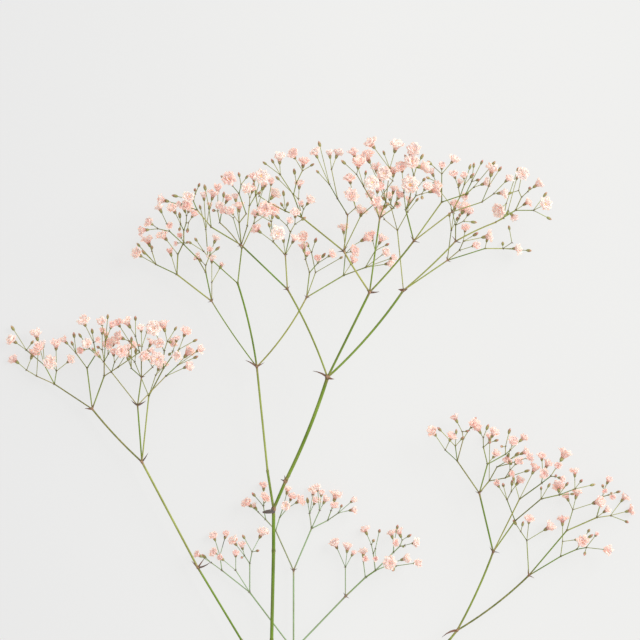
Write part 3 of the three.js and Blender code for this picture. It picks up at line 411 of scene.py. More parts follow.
# %% The head's middle spray
HEAD_CENTRE = spray("head_centre", 48, 108.5, 31,
    fork(35, 129, 34,
        fork(14, 146, 28,
            fork(6, 149, 25,
                bud(4, 152.5), bud(7, 152.5), bud(5, 158),
                fork(-2.5, 153.5, 24,
                    flower(0, 157, 4.5), flower(-1, 163.5, 3), bud(-3.5, 149),
                    fork(-7, 156.5, 25, flower(-5, 162, 3), bud(-9.5, 160.5)))),
            fork(10, 157, 32,
                fork(3.5, 167, 32, bud(-4.5, 173), bud(-0.5, 174), flower(3, 175, 4.5)),
                fork(11.5, 163, 36,
                    bud(10.5, 168.5),
                    fork(14.5, 169, 38,
                        flower(15, 173, 4.5), bud(19.5, 172), flower(10, 176.5, 4.5)))),
            fork(12.5, 155, 30, flower(13, 162.5, 3.5), bud(2, 165.5)),
            fork(15, 150, 29, flower(18, 154, 4), flower(14, 152.5, 2.5))),
        fork(43.5, 146.5, 33,
            flower(44, 148.5, 4.5),
            fork(52.5, 154.5, 31,
                flower(48, 157.5, 3.5),
                fork(59.5, 164, 33, flower(60, 168.5, 4), bud(56.5, 167)))),
        fork(37, 147, 39,
            fork(32, 155, 40,
                fork(28, 162, 41, bud(22, 168.5), flower(21, 177.5, 4), bud(23, 182)),
                fork(29, 169.5, 43, flower(28, 177.5, 3), flower(32, 177.5, 4))),
            fork(41, 150.5, 42, flower(39, 156.5, 5.5), flower(38, 164.5, 4.5)),
            bract=2, bow=-0.015),
        bract=3, bow=0.01),
    fork(53, 145.5, 37,
        fork(51, 150.5, 40,
            flower(51, 153, 4), flower(49, 156.5, 3), flower(52, 160, 4.5),
            fork(45, 161, 44,
                flower(49, 163, 7), flower(40, 177.5, 4), bud(46, 168),
                fork(41.5, 167, 45, bud(35, 173), flower(42.5, 172, 5)))),
        fork(56, 153.5, 36,
            bud(53, 164), flower(55, 167.5, 7), flower(51, 170.5, 4), flower(47, 175.5, 5),
            fork(58, 170, 40, bud(55, 178), flower(61, 180.5, 5), flower(49, 182, 4.5))),
        fork(60, 150.5, 33,
            flower(54, 150.5, 5), flower(62, 152.5, 3), bud(57, 152.5), flower(63, 156.5, 3.5),
            bud(62, 159), flower(60, 160, 3.5)),
        bract=2),
    HEAD_INNER_RIGHT,
    bract=7)

# %% The head's right spray
HEAD_RIGHT = spray("head_right", 65, 109.5, 16,
    fork(62, 139.5, 14,
        fork(55.5, 145, 14, flower(53.5, 148.5, 3.5)),
        fork(59, 150.5, 14, flower(58, 156.5, 3.5), bud(55, 155.5)),
        fork(67, 148.5, 15, flower(68, 154.5, 3.5), bud(72, 155))),
    fork(91, 134, 22,
        fork(91, 142, 24,
            flower(95, 149.5, 5), flower(98, 148.5, 3), bud(100, 143.5), bud(93, 147),
            fork(88.5, 152, 27, flower(82, 160.5, 4.5))),
        fork(111, 143.5, 21,
            fork(115, 145.5, 22,
                bud(122, 170), bud(121.5, 165.5), flower(113, 150, 5), bud(117, 148),
                flower(120, 146.5, 3.5)),
            fork(121, 149.5, 19,
                flower(127, 153.5, 3.5),
                fork(130, 149.5, 18, flower(136, 152.5, 5.5), bud(136, 157.5), bud(138, 145.5)),
                fork(124, 156, 20,
                    flower(124, 167.5, 5.5), bud(128, 160.5), flower(132, 162.5, 4), bud(118, 158))),
            bow=0.02),
        bract=3, bow=-0.015),
    fork(87, 124.5, 13,
        fork(93, 129.5, 13,
            flower(101, 132, 3.5),
            fork(95, 134, 15, bud(101, 137.5), flower(107, 136.5, 4.5), flower(96, 140.5, 3.5))),
        fork(106, 130.5, 7,
            bud(107, 135),
            fork(115, 130.5, 4.5,
                flower(122, 130.5, 4), bud(128, 129.5), bud(115, 133),
                fork(119.5, 133.5, 6, bud(118, 141)))),
        fork(89, 139.5, 10, flower(91, 152, 4), bud(88, 147.5), bud(92, 145.5)),
        bract=2),
    bract=5, bow=-0.03)

# %% The main stem, which carries them all
STEM = spray("main_stem", -6, -246, 1.2,
    fork(-4, -156, 5.9,
        RIGHT,
        fork(-3, -111, 8,
            BACK,
            fork(-2, -91, 9,
                LEFT,
                fork(-1, -66, 10,
                    fork(0, -21, 12.5,
                        fork(0, 0, 14,
                            fork(-3, 19, 14.5, HEAD_LEFT),
                            fork(6, 14, 16,
                                fork(27, 66, 24,
                                    HEAD_INNER_LEFT, HEAD_CENTRE, HEAD_RIGHT,
                                    bract=7, bow=-0.02),
                                bract=4),
                            bract=6))),
                bract=5),
            bract=5),
        bract=5))

# %% [markdown]
# ## How the stalks spread in height
#
# The plan is flat, but the plant isn't: its flowers stand at many heights. Placing four hundred
# heights by hand would be slow, and plain random heights would put flowers inside each other. So each
# flower tries one random height after another, and keeps the first at which its stalk and head are
# clear of everything that already has its place. The sequence of random numbers starts anew at each
# place of the plan, so a change in one corner doesn't stir up the rest. The same rule shaped the
# solid model, so the fine pieces land in the same places. It works with plain tuples, because the
# short numbers of Blender's own vectors could tip a close call the other way.

# %% Sizes of stalks and flowers
PEDICEL_RADIUS = 0.17
THICKENING = 0.27
THINNEST_SOLID_RADIUS = 0.36
BEND_LENGTH = 24
CALYX_LENGTH = 1.7
CALYX_RADIUS = 0.85
CALYX_SHARE = 0.22
CUP_SHARE = 0.3
BUD_LENGTH = 3.2
BUD_RADIUS = 0.85
BUD_SEAT_SHARE = 0.45
DOUBLE_FLOWER_WIDTH = 5
DOUBLE_FLOWER_LIFT = 2.5
LOWEST_LIFT, HIGHEST_LIFT = -0.1, 0.7


def is_flower(child):
    return isinstance(child, Bloom)


def flowers_on(branch):
    return 1 if is_flower(branch) else sum(map(flowers_on, branch.children))


def grown_radius(branch):
    return PEDICEL_RADIUS * flowers_on(branch) ** THICKENING


# %% Points as plain tuples
def minus(a, b):
    return (a[0] - b[0], a[1] - b[1], a[2] - b[2])


def dot(a, b):
    return a[0] * b[0] + a[1] * b[1] + a[2] * b[2]


def unit(a):
    length = math.sqrt(dot(a, a))
    return (a[0] / length, a[1] / length, a[2] / length)


def along(at, direction, distance):
    return tuple(p + distance * d for p, d in zip(at, direction))


def towards(a, b):
    return unit(minus(b, a))


def span(a, b):
    return math.dist(a, b)


# %% A stalk's line, and where a flower sits on it
def stalk_line(start, end, bow, steps):
    """The line of a stalk in a number of steps. A bow is a parabola, widest in the middle."""
    direction = towards(start, end)
    sideways = unit((-direction[1], direction[0], 0))
    furthest = bow * span(start, end)
    line = []
    for i in range(steps + 1):
        t = i / steps
        on_chord = tuple(a + (b - a) * t for a, b in zip(start, end))
        line.append(along(on_chord, sideways, 4 * furthest * t * (1 - t)))
    return line


def seat(bloom, start):
    """The foot of a flower's calyx, and which way the flower faces."""
    axis = unit(along(towards(start, bloom.at), (0, 0, 1), bloom.lift))
    seated = BUD_SEAT_SHARE * BUD_LENGTH
    below = CALYX_LENGTH + CUP_SHARE / 2 * bloom.width if bloom.width else seated
    return along(bloom.at, axis, -below), axis


def calyx_radius(width):
    return max(CALYX_RADIUS, CALYX_SHARE * width)


# %% What already has its place
CLEARANCE = 0.15
MOST_STRAIGHTS = 4000
ALMOST_NOTHING = 1e-9


@dataclass
class Straight:
    start: tuple
    end: tuple
    radius: float
    ends: list = field(default_factory=list)
    bent: bool = False

    @property
    def length(self):
        return span(self.start, self.end)


settled = []
settled_starts = np.zeros((MOST_STRAIGHTS, 3))
settled_reach = np.zeros(MOST_STRAIGHTS)


def settle(piece):
    settled_starts[len(settled)] = piece.start
    settled_reach[len(settled)] = piece.radius + piece.length
    settled.append(piece)


def distance_between(a, b):
    """The shortest distance between two straight pieces."""
    u, v, w = minus(a.end, a.start), minus(b.end, b.start), minus(a.start, b.start)
    uu, uv, vv = dot(u, u) + ALMOST_NOTHING, dot(u, v), dot(v, v) + ALMOST_NOTHING
    uw, vw = dot(u, w), dot(v, w)
    guess = min(1, max(0, (uv * vw - vv * uw) / (uu * vv - uv * uv + ALMOST_NOTHING)))
    t = min(1, max(0, (uv * guess + vw) / vv))
    s = min(1, max(0, (uv * t - uw) / uu))
    return span(along(a.start, u, s), along(b.start, v, t))


def clear_of(piece, other):
    """Two pieces that meet at a fork only have to be clear of each other at their far ends."""
    room = piece.radius + other.radius + CLEARANCE
    shared = next((end for end in piece.ends if any(end is o for o in other.ends)), None)
    if shared is None:
        return distance_between(piece, other) > room
    far_end = other.end if other.ends[0] is shared else other.start
    tip, far_tip = Straight(piece.end, piece.end, 0), Straight(far_end, far_end, 0)
    return distance_between(tip, other) > room and distance_between(far_tip, piece) > room


def fits(piece):
    """Tests a piece against those settled ones that are near enough to matter."""
    count = len(settled)
    reach = piece.radius + piece.length + CLEARANCE + settled_reach[:count]
    apart = np.linalg.norm(settled_starts[:count] - piece.start, axis=1)
    return all(clear_of(piece, settled[k]) for k in np.flatnonzero(apart <= reach))


# %% A random sequence that starts anew at each place
SEED = 82
PLACE_FACTORS = (61703, 38971)
SEED_FACTOR = 12347
GROWTH_FACTOR = 16807
CYCLE = 2147483647
cycle_place = SEED


def start_sequence(x, y):
    global cycle_place
    place = math.floor(abs(PLACE_FACTORS[0] * x + PLACE_FACTORS[1] * y))
    cycle_place = (place + SEED_FACTOR * SEED) % (CYCLE - 1) + 1


def draw(low, high):
    global cycle_place
    cycle_place = cycle_place * GROWTH_FACTOR % CYCLE
    return low + (high - low) * cycle_place / CYCLE


# %% Try one height after another
LOWEST_RISE, HIGHEST_RISE = -0.35, 0.5
RISE_START = 3
RISE_GROWTH = 1 / 15
SHORTEST_STALK = 2.2
MOST_BACKWARD = 0.3
SHARPEST_BEND = 0.5
RESTING_SHARE = 0.33
FLOWERS_PER_FORK = 3
TRIES = 100


def solid_radius(branch):
    return max(THINNEST_SOLID_RADIUS, grown_radius(branch))


def find_height(x, y, fork_below, lowest, attempt):
    """Tries heights until the pieces of one attempt have room, and settles those."""
    at = fork_below.at
    reach = math.hypot(x - at[0], y - at[1]) + RISE_START
    for tries in range(TRIES):
        rise = reach * draw(LOWEST_RISE, HIGHEST_RISE) * (1 + tries * RISE_GROWTH)
        pieces = attempt((x, y, max(at[2] + rise, lowest)))
        stalk = pieces[0]
        backward = dot(towards(at, stalk.end), towards(at, fork_below.parent.at))
        shaped = stalk.length > SHORTEST_STALK and not stalk.bent and backward < MOST_BACKWARD
        if (shaped and all(map(fits, pieces))) or tries == TRIES - 1:
            for piece in pieces:
                settle(piece)
            return


def settle_forks(branch, parent):
    branch.parent = parent
    if parent:
        bends = max(2, math.floor(span(parent.at, branch.at) / BEND_LENGTH + 0.5))
        line = stalk_line(parent.at, branch.at, branch.bow, bends if branch.bow else 1)
        for start, end in zip(line, line[1:]):
            settle(Straight(start, end, solid_radius(branch), [parent, branch]))
    for child in branch.children:
        if not is_flower(child):
            settle_forks(child, branch)


def settle_flower(bloom, fork_below):
    start_sequence(bloom.x, bloom.y)
    size = max(bloom.width, 2 * BUD_RADIUS)
    bloom.roll = draw(0, 2 * math.pi)
    is_double = bloom.width > DOUBLE_FLOWER_WIDTH
    bloom.lift = DOUBLE_FLOWER_LIFT if is_double else draw(LOWEST_LIFT, HIGHEST_LIFT)

    def attempt(at):
        bloom.at = at
        foot, axis = seat(bloom, fork_below.at)
        stalk = Straight(fork_below.at, foot, THINNEST_SOLID_RADIUS, [fork_below])
        stalk.bent = dot(towards(fork_below.at, foot), axis) < SHARPEST_BEND
        if not bloom.width:
            return [stalk, Straight(foot, along(foot, axis, BUD_LENGTH), BUD_RADIUS)]
        calyx = Straight(foot, at, calyx_radius(bloom.width))
        return [stalk, calyx, Straight(at, at, bloom.width / 2)]

    find_height(bloom.x, bloom.y, fork_below, RESTING_SHARE * size, attempt)


# %% Split each crowd of flowers into pairs and threes
def middle_of(flowers):
    count = len(flowers)
    return sum(bloom.x for bloom in flowers) / count, sum(bloom.y for bloom in flowers) / count


def divide(fork_below, flowers):
    """Gives a fork its flowers, or smaller forks of their own if they are a crowd."""
    if len(flowers) <= FLOWERS_PER_FORK:
        for bloom in flowers:
            settle_flower(bloom, fork_below)
        return flowers
    at = fork_below.at
    crowd_x, crowd_y = middle_of(flowers)
    middle_x, middle_y = crowd_x - at[0], crowd_y - at[1]

    def turn(bloom):
        x, y = bloom.x - at[0], bloom.y - at[1]
        return math.atan2(middle_x * y - middle_y * x, middle_x * x + middle_y * y)

    ordered = sorted(flowers, key=turn)
    half = math.ceil(len(ordered) / 2)
    forks = []
    for group in (ordered[:half], ordered[half:]):
        small = Fork((), group, parent=fork_below)
        radius = solid_radius(small)
        group_x, group_y = middle_of(group)
        x, y = (group_x + at[0]) / 2, (group_y + at[1]) / 2
        start_sequence(x, y)

        def attempt(place, small=small, radius=radius):
            small.at = place
            return [Straight(at, place, radius, [fork_below, small])]

        find_height(x, y, fork_below, radius, attempt)
        small.children = divide(small, group)
        forks.append(small)
    return forks


def settle_flowers(branch):
    forks = [child for child in branch.children if not is_flower(child)]
    for child in forks:
        settle_flowers(child)
    branch.children = forks + divide(branch, [c for c in branch.children if is_flower(c)])


settle_forks(STEM, None)
settle_flowers(STEM)
print("flowers and buds:", flowers_on(STEM), "straight pieces settled:", len(settled))

# %% [markdown]
# ## Pieces that remember where they grew
#
# Each piece below is one mesh that holds many small closed bodies. To colour them later, every corner
# keeps three values. `grain` is where the corner lies on its own stalk, petal or calyx. `tone` is a
# number for the whole flower or stalk, so that no two look the same. It is 0 to 1, and below 0 on the
# pale young spray. `tint` says how far a finish has turned: a stem's joint, a bud's tip, a stamen's
# pollen. Colours could also be painted as images, but attributes cost nothing, stay sharp at any
# size and follow the surface.

# %% A body's extra values
MM = 0.001
GRAIN, TONE, TINT = "grain", "tone", "tint"
dice = Random(11)


def new_body():
    body = bmesh.new()
    body.verts.layers.float_vector.new(GRAIN)
    body.verts.layers.float.new(TONE)
    body.verts.layers.float.new(TINT)
    return body


def mesh_of(body, name):
    """Turns a body into a mesh, and lets go of the body."""
    mesh = bpy.data.meshes.new(name)
    body.to_mesh(mesh)
    body.free()
    return mesh


def mark(body, corners, grain, tone, tint):
    """Writes the three values on some corners. `grain` works out its value for each corner."""
    grain_layer = body.verts.layers.float_vector[GRAIN]
    tone_layer = body.verts.layers.float[TONE]
    tint_layer = body.verts.layers.float[TINT]
    for corner in corners:
        corner[grain_layer] = grain(corner)
        corner[tone_layer] = tone
        corner[tint_layer] = tint


# %% [markdown]
# ## Growing a stalk
#
# A stalk, a bract, a bud and a calyx are all the same kind of thing: a round or flattened section
# that is carried along a line while its size changes. A curve with a bevel could make the stalks,
# but then teeth, flattened scales and the three values would need more work. Here one circle is
# extruded from frame to frame. A frame is a matrix: it says where a circle of radius 1 lands, which
# way it faces and how wide it is on each side.

# %% Frames along a line, and a body grown through them
NO_SIDE = 0.1


def ring_frames(line, widths, thicknesses=None, side=Vector((0, 0, 1))):
    """A frame for each point of a line, turned as little as possible from one to the next."""
    thicknesses = thicknesses or widths
    line = [Vector(point) for point in line]
    frames = []
    for i, point in enumerate(line):
        axis = (line[min(i + 1, len(line) - 1)] - line[max(i - 1, 0)]).normalized()
        across = side - side.dot(axis) * axis
        if across.length < NO_SIDE:
            across = axis.orthogonal()
        side = across.normalized()
        third = axis.cross(side)
        turn = Matrix((side * widths[i], third * thicknesses[i], axis)).transposed()
        frames.append(Matrix.Translation(point) @ turn.to_4x4())
    return frames


def grow(body, frames, sides, tone, tints, lengths):
    """Extrudes a circle from frame to frame and closes both ends. Gives back its rings."""
    circle = bmesh.ops.create_circle(body, cap_ends=True, segments=sides, radius=1, matrix=frames[0])
    ring = circle["verts"]
    edges = list(dict.fromkeys(edge for corner in ring for edge in corner.link_edges))
    rings = []
    for i, frame_here in enumerate(frames):
        if i:
            grown = bmesh.ops.extrude_edge_only(body, edges=edges)["geom"]
            ring = [item for item in grown if isinstance(item, bmesh.types.BMVert)]
            edges = [item for item in grown if isinstance(item, bmesh.types.BMEdge)]
            bmesh.ops.transform(body, matrix=frame_here @ frames[i - 1].inverted(), verts=ring)
        back = frame_here.inverted()

        def around(corner, back=back, length=lengths[i]):
            spot = back @ corner.co
            return (spot.x, spot.y, length)

        mark(body, ring, around, tone, tints[i])
        rings.append(ring)
    bmesh.ops.contextual_create(body, geom=edges)
    return rings


# %% [markdown]
# ## Stalks with swollen joints
#
# On the real stem the stretches between the joints are nearly straight and smooth, and each joint is
# a little swollen. A stalk here flares at its start, runs at its own radius, and ends inside the next
# joint, which is a small ball stretched along the stalk. The joints overlap the stalks, so nothing
# gapes. A long stalk takes a ring every few millimetres to keep its bow smooth, and a flower's own
# stalk bends into the way that its flower faces. The joints that carry long bracts are also the dark
# ones, so each joint has a number for how dark it is, and its stalks fade from it within millimetres.
# A few outer arms are purple brown all the way, and a list of forks names them. Of the fine stalks,
# a third are brownish.

# %% Stalks and joints
STALK_SPACING = 5
STALK_SIDES = 10
PEDICEL_SIDES = 6
THICK_STALK = 0.6
FLARE = 1.2
FLARE_LENGTH = 1.6
LARGEST_FLARE_SHARE = 0.25
GRAIN_SHIFT = 100
DARK_JOINT_WIDTH, PALE_JOINT_WIDTH = 1.5, 1.25
JOINT_LENGTH = 1.7
JOINT_SIDES, JOINT_RINGS = 8, 6
JOINT_TINT_LENGTH = 2.2
DARK_JOINT, PALE_JOINT = 1, 0.3
BROWNED = {(-91, 50): 0.5, (-110, 62.5): 0.55, (-119, 66.5): 0.5, (128, -33.5): 0.5}
FEW_FLOWERS = 12
BROWNED_BY_CHANCE = (0, 0, 0.4)
PEDICEL_STEPS = 4


def fade(distance):
    return math.exp(-distance / JOINT_TINT_LENGTH)


def joint_darkness(branch):
    return DARK_JOINT if branch.bract else PALE_JOINT


def how_browned(branch):
    if branch.at[:2] in BROWNED:
        return BROWNED[branch.at[:2]]
    return dice.choice(BROWNED_BY_CHANCE) if flowers_on(branch) < FEW_FLOWERS else 0


def with_flare(line):
    """Adds a point close to each end, where the stalk widens into its joints."""
    start, end = line[0], line[-1]
    near = min(FLARE_LENGTH, LARGEST_FLARE_SHARE * span(start, end))
    first = along(start, towards(start, line[1]), near)
    last = along(end, towards(end, line[-2]), near)
    return [start, first, *line[1:-1], last, end]


def grow_stalk(body, line, radius, tone, near_joint, far_joint=0, browned=0):
    """Grows a stalk. Its tint is how dark each of its points is because of the joints at its ends."""
    line = with_flare(line)
    widths = [radius] * len(line)
    widths[0] = FLARE * radius
    widths[-1] = FLARE * radius if far_joint else radius
    travelled = [0]
    for start, end in zip(line, line[1:]):
        travelled.append(travelled[-1] + span(start, end))
    tints = []
    for distance in travelled:
        from_end = travelled[-1] - distance
        tints.append(max(near_joint * fade(distance), far_joint * fade(from_end), browned))
    sides = STALK_SIDES if radius > THICK_STALK else PEDICEL_SIDES
    offset = GRAIN_SHIFT * dice.random()
    grow(body, ring_frames(line, widths), sides, tone, tints, [offset + t for t in travelled])


def turned_to(direction):
    """The turn that takes the Z axis to a direction."""
    return Vector(direction).to_track_quat("Z", "X").to_matrix().to_4x4()


def grow_joint(body, at, arriving, radius, tone, darkness):
    width = (DARK_JOINT_WIDTH if darkness == DARK_JOINT else PALE_JOINT_WIDTH) * radius
    size = Matrix.Diagonal((width, width, JOINT_LENGTH * radius, 1))
    placed = Matrix.Translation(at) @ turned_to(arriving) @ size
    ball = bmesh.ops.create_uvsphere(body, u_segments=JOINT_SIDES, v_segments=JOINT_RINGS, radius=1,
                                     matrix=placed)
    mark(body, ball["verts"], lambda corner: corner.co, tone, darkness)


def pedicel_line(start, foot, axis):
    """A flower's own stalk: it leaves straight and bends into the flower's axis."""
    reach = span(start, foot) / 3
    leaving = along(start, towards(start, foot), reach)
    arriving = along(foot, axis, -reach)
    line = []
    for i in range(PEDICEL_STEPS + 1):
        t = i / PEDICEL_STEPS
        weights = ((1 - t) ** 3, 3 * t * (1 - t) ** 2, 3 * t * t * (1 - t), t ** 3)
        corners = (start, leaving, arriving, foot)
        line.append(tuple(sum(w * c[k] for w, c in zip(weights, corners)) for k in range(3)))
    return line


# %% [markdown]
# ## Bracts
#
# Two small scales sit at each joint, across from each other. They are dry, dark and pointed, up to
# some eight millimetres long at the big forks and hardly visible at the small ones. As they dry they
# curl, turn aside and break, so those that show best are listed one by one: their length, the way they
# head in degrees from the X axis, their curl to the left and their breadth from above. A flat leaf
# cut from a grid would do, but a flattened stalk that narrows to a point is closed already and has
# the boat shape of a real scale. A broad one lies flat, is grey and has lost its point, and a narrow
# one stands on its edge.

# %% Bracts
BRACT_SIDES = 8
BRACT_STATIONS = (0, 0.15, 0.4, 0.7, 1)
BRACT_OUTLINE = (0.8, 1, 0.8, 0.45, 0.1)
BLUNT_OUTLINE = (0.75, 1, 1, 0.85, 0.35)
BLUNT_BREADTH = 1.8
BLUNT_FOOT = (0.6, -1.0, 0.85)
BRACT_FOOT = 0.5
BRACT_SECTION = 0.22
THINNEST_BRACT = 0.04
BRACT_BREADTH = 0.35
BRACT_SLENDER = 0.06
BRACT_CURL = 0.3
BRACT_LEAN = 65
BRACT_RISE = 0.15
SMALL_BRACT = (0.4, 0.9)
SHOWN_BRACTS = {
    (0, 0): [(6.2, 184, 0.03, 2.1), (2.4, 75, 0, 1.2)],
    (6, 14): [(2.4, 160, 0, 0.9), (2.6, 100, 0, 0.8), (3.3, 48, 0, 0.8)],
    (27, 66): [(7.4, 140, 0.31, 1.1), (3.0, -25, 0.2, 1.3)],
    (-8.4, 71.2): [(6.4, 140, 0.18, 1.0), (4.2, 30, 0, 0.7)],
    (-38, -29.5): [(6.5, 5, 0.35, 1.0), (6.0, 55, 0, 0.8), (4.5, 133, 0, 0.9)],
    (-66, 23.5): [(5.5, 50, 0.1, 0.8), (2.4, 140, 0, 1.0)],
    (-91, 50): [(3.6, 175, 0, 1.0), (2.6, 75, 0, 1.0)],
    (-68, 52): [(3.8, 152, -0.2, 0.9), (4.6, 20, 0.15, 1.0)],
    (92, -61): [(7.4, 180, 0.45, 1.2), (2.0, 60, 0, 1.2)],
    (48, 108.5): [(4.6, -5, 0.15, 1.1), (1.6, 140, 0, 1.0)],
    (65, 109.5): [(2.4, 170, 0, 1.5), (2.0, 20, 0, 1.4)],
    (53, 145.5): [(2.2, 120, 0, 0.9), (2.6, 35, 0, 0.9)],
    (37, 147): [(1.6, 135, 0, 1.0)],
}


def bracts_of(branch, arriving):
    """The length, heading, curl and breadth of each bract at a fork."""
    if branch.at[:2] in SHOWN_BRACTS:
        return SHOWN_BRACTS[branch.at[:2]]
    onwards = math.degrees(math.atan2(arriving[1], arriving[0]))
    bracts = []
    for heading in (onwards + BRACT_LEAN, onwards - BRACT_LEAN):
        length = branch.bract or dice.uniform(*SMALL_BRACT)
        breadth = BRACT_BREADTH + BRACT_SLENDER * length
        bracts.append((length, heading, dice.uniform(-BRACT_CURL, BRACT_CURL), breadth))
    return bracts


def grow_bract(body, at, radius, length, heading, curl, breadth):
    heading = math.radians(heading)
    direction = unit((math.cos(heading), math.sin(heading), BRACT_RISE))
    leftwards = (-math.sin(heading), math.cos(heading), 0)
    is_blunt = breadth > BLUNT_BREADTH
    start = along(at, BLUNT_FOOT, 1) if is_blunt else along(at, direction, BRACT_FOOT * radius)
    line = []
    for t in BRACT_STATIONS:
        line.append(along(along(start, direction, t * length), leftwards, curl * length * t * t))
    outline = BLUNT_OUTLINE if is_blunt else BRACT_OUTLINE
    heights = [max(THINNEST_BRACT, BRACT_SECTION / breadth * share) for share in outline]
    breadths = [breadth / 2 * share for share in outline]
    lengths = [t * length for t in BRACT_STATIONS]
    tone = 0 if is_blunt else dice.random()
    grow(body, ring_frames(line, heights, breadths), BRACT_SIDES, tone, BRACT_STATIONS, lengths)


# %% [markdown]
# ## Buds
#
# A closed bud is a small egg: green at its foot, then dull purple, and pink at the tip, where the
# petals are about to break. Its outline is a short list of shares, which the same growing turns
# into a closed body.

# %% Buds
BUD_STATIONS = (0, 0.1, 0.3, 0.55, 0.78, 0.93, 1)
BUD_OUTLINE = (0.4, 0.72, 0.98, 1, 0.72, 0.38, 0.1)
BUD_SIDES = 8
BUD_SLENDER = 0.9
SMALLEST_BUD, LARGEST_BUD = 0.8, 1.05


def grow_bud(body, foot, axis):
    size = dice.uniform(SMALLEST_BUD, LARGEST_BUD)
    line = [along(foot, axis, t * size * BUD_LENGTH) for t in BUD_STATIONS]
    widths = [BUD_SLENDER * share * size * BUD_RADIUS for share in BUD_OUTLINE]
    grow(body, ring_frames(line, widths), BUD_SIDES, dice.random(), BUD_STATIONS, BUD_STATIONS)


# %% [markdown]
# ## The calyx
#
# Below the petals sits a small green bell with five teeth, striped with dark purple. It grows from a
# narrow foot to a wide rim with ten corners. Every other corner of the rim then moves up, which
# gives the teeth, and a last ring goes back inside to close the bell.

# %% The calyx
CALYX_TEETH = 5
CALYX_STATIONS = (0, 0.25, 0.7, 1)
CALYX_OUTLINE = (0.42, 0.75, 1, 1.02)
CALYX_TINTS = (0, 0.2, 0.45, 0.7, 0.7)
CALYX_SLENDER = 0.9
INSIDE_DEPTH, INSIDE_WIDTH = 0.3, 0.5
TOOTH_HEIGHT = 0.7


def grow_calyx(body, foot, axis, width, roll):
    radius = CALYX_SLENDER * calyx_radius(width)
    line = [along(foot, axis, t * CALYX_LENGTH) for t in CALYX_STATIONS]
    widths = [share * radius for share in CALYX_OUTLINE]
    frames = ring_frames(line, widths, side=Vector((math.cos(roll), math.sin(roll), 0)))
    rim = frames[-1]
    inside = rim @ Matrix.Translation((0, 0, -INSIDE_DEPTH * CALYX_LENGTH))
    frames.append(inside @ Matrix.Diagonal((INSIDE_WIDTH, INSIDE_WIDTH, 1, 1)))
    lengths = (*CALYX_STATIONS, 1 - INSIDE_DEPTH)
    rings = grow(body, frames, 2 * CALYX_TEETH, dice.random(), CALYX_TINTS, lengths)
    back = rim.inverted()
    for corner in rings[-2]:
        spot = back @ corner.co
        place = round(math.atan2(spot.y, spot.x) / math.pi * CALYX_TEETH)
        if place % 2 == 0:
            corner.co += Vector(axis) * TOOTH_HEIGHT


# %% [markdown]
# ## Petals
#
# A double gypsophila flower is a small tuft of notched petals. Each petal climbs out of the calyx as a
# narrow claw, then bends over into a broad ruffled blade. There are thousands of petals, so each takes
# a few dozen faces. A few petal shapes are modelled once: a grid is narrowed to a claw, bent, notched
# at the tip and ruffled, and gets its thickness. Flowers then take copies of them.

# %% Petal shapes
PETAL_ACROSS, PETAL_ALONG = 4, 4
CLAW_HALF_WIDTH = 0.09
PETAL_HALF_WIDTH = 0.43
PETAL_WIDEST = 0.8
TIP_NARROWING = 0.3
CLAW_END, BEND_END = 0.22, 0.6
BEND_STEPS = 20
NOTCH_DEPTH = 0.16
NOTCH_POINTEDNESS = 1.5
NOTCH_SHORTNESS = 4
PETAL_CUP = 0.5
PETAL_THICKNESS = 0.03
PETAL_BENDS = (8, 25, 45, 65, 85)
RUFFLES = (0.06, -0.07)
RUFFLE_WAVES = 5
RUFFLE_SHIFT = 9


def petal_half_width(t):
    """Half the width of a petal of length 1, from its claw to its tip."""
    rise = math.sin(min(1, t / PETAL_WIDEST) * math.pi / 2) ** 2
    end = max(0, t - PETAL_WIDEST) / (1 - PETAL_WIDEST)
    widened = CLAW_HALF_WIDTH + (PETAL_HALF_WIDTH - CLAW_HALF_WIDTH) * rise
    return widened * (1 - TIP_NARROWING * end * end)


def petal_spine(bend, t):
    """How far out and up a petal's middle is at a share of its length, and its slope there."""
    out = up = angle = 0
    for i in range(BEND_STEPS):
        share = t * (i + 0.5) / BEND_STEPS
        angle = bend * min(1, max(0, (share - CLAW_END) / (BEND_END - CLAW_END)))
        out += math.sin(angle) * t / BEND_STEPS
        up += math.cos(angle) * t / BEND_STEPS
    return out, up, angle


def petal_shape(bend, ruffle):
    """A petal of length 1 that starts at the origin, climbs along Z and bends towards Y."""
    body = new_body()
    bmesh.ops.create_grid(body, x_segments=PETAL_ACROSS, y_segments=PETAL_ALONG, size=1)
    for corner in body.verts:
        s, t = corner.co.x, (corner.co.y + 1) / 2
        notch = NOTCH_DEPTH * (1 - abs(s)) ** NOTCH_POINTEDNESS * t ** NOTCH_SHORTNESS
        out, up, angle = petal_spine(math.radians(bend), t - notch)
        across = s * petal_half_width(t)
        raised = PETAL_CUP * across * across / PETAL_HALF_WIDTH
        raised += ruffle * t * math.sin(RUFFLE_WAVES * s + RUFFLE_SHIFT * ruffle)
        mark(body, [corner], lambda c, s=s, t=t: (s, t, 0), 0, 0)
        corner.co = (across, out - raised * math.cos(angle), up + raised * math.sin(angle))
    bmesh.ops.recalc_face_normals(body, faces=body.faces)
    bmesh.ops.solidify(body, geom=body.faces, thickness=PETAL_THICKNESS)
    return mesh_of(body, "petal_shape")


petal_shapes = {bend: [petal_shape(bend, ruffle) for ruffle in RUFFLES] for bend in PETAL_BENDS}
faces_each = len(petal_shapes[PETAL_BENDS[0]][0].polygons)
print("petal shapes:", len(PETAL_BENDS) * len(RUFFLES), "faces each:", faces_each)

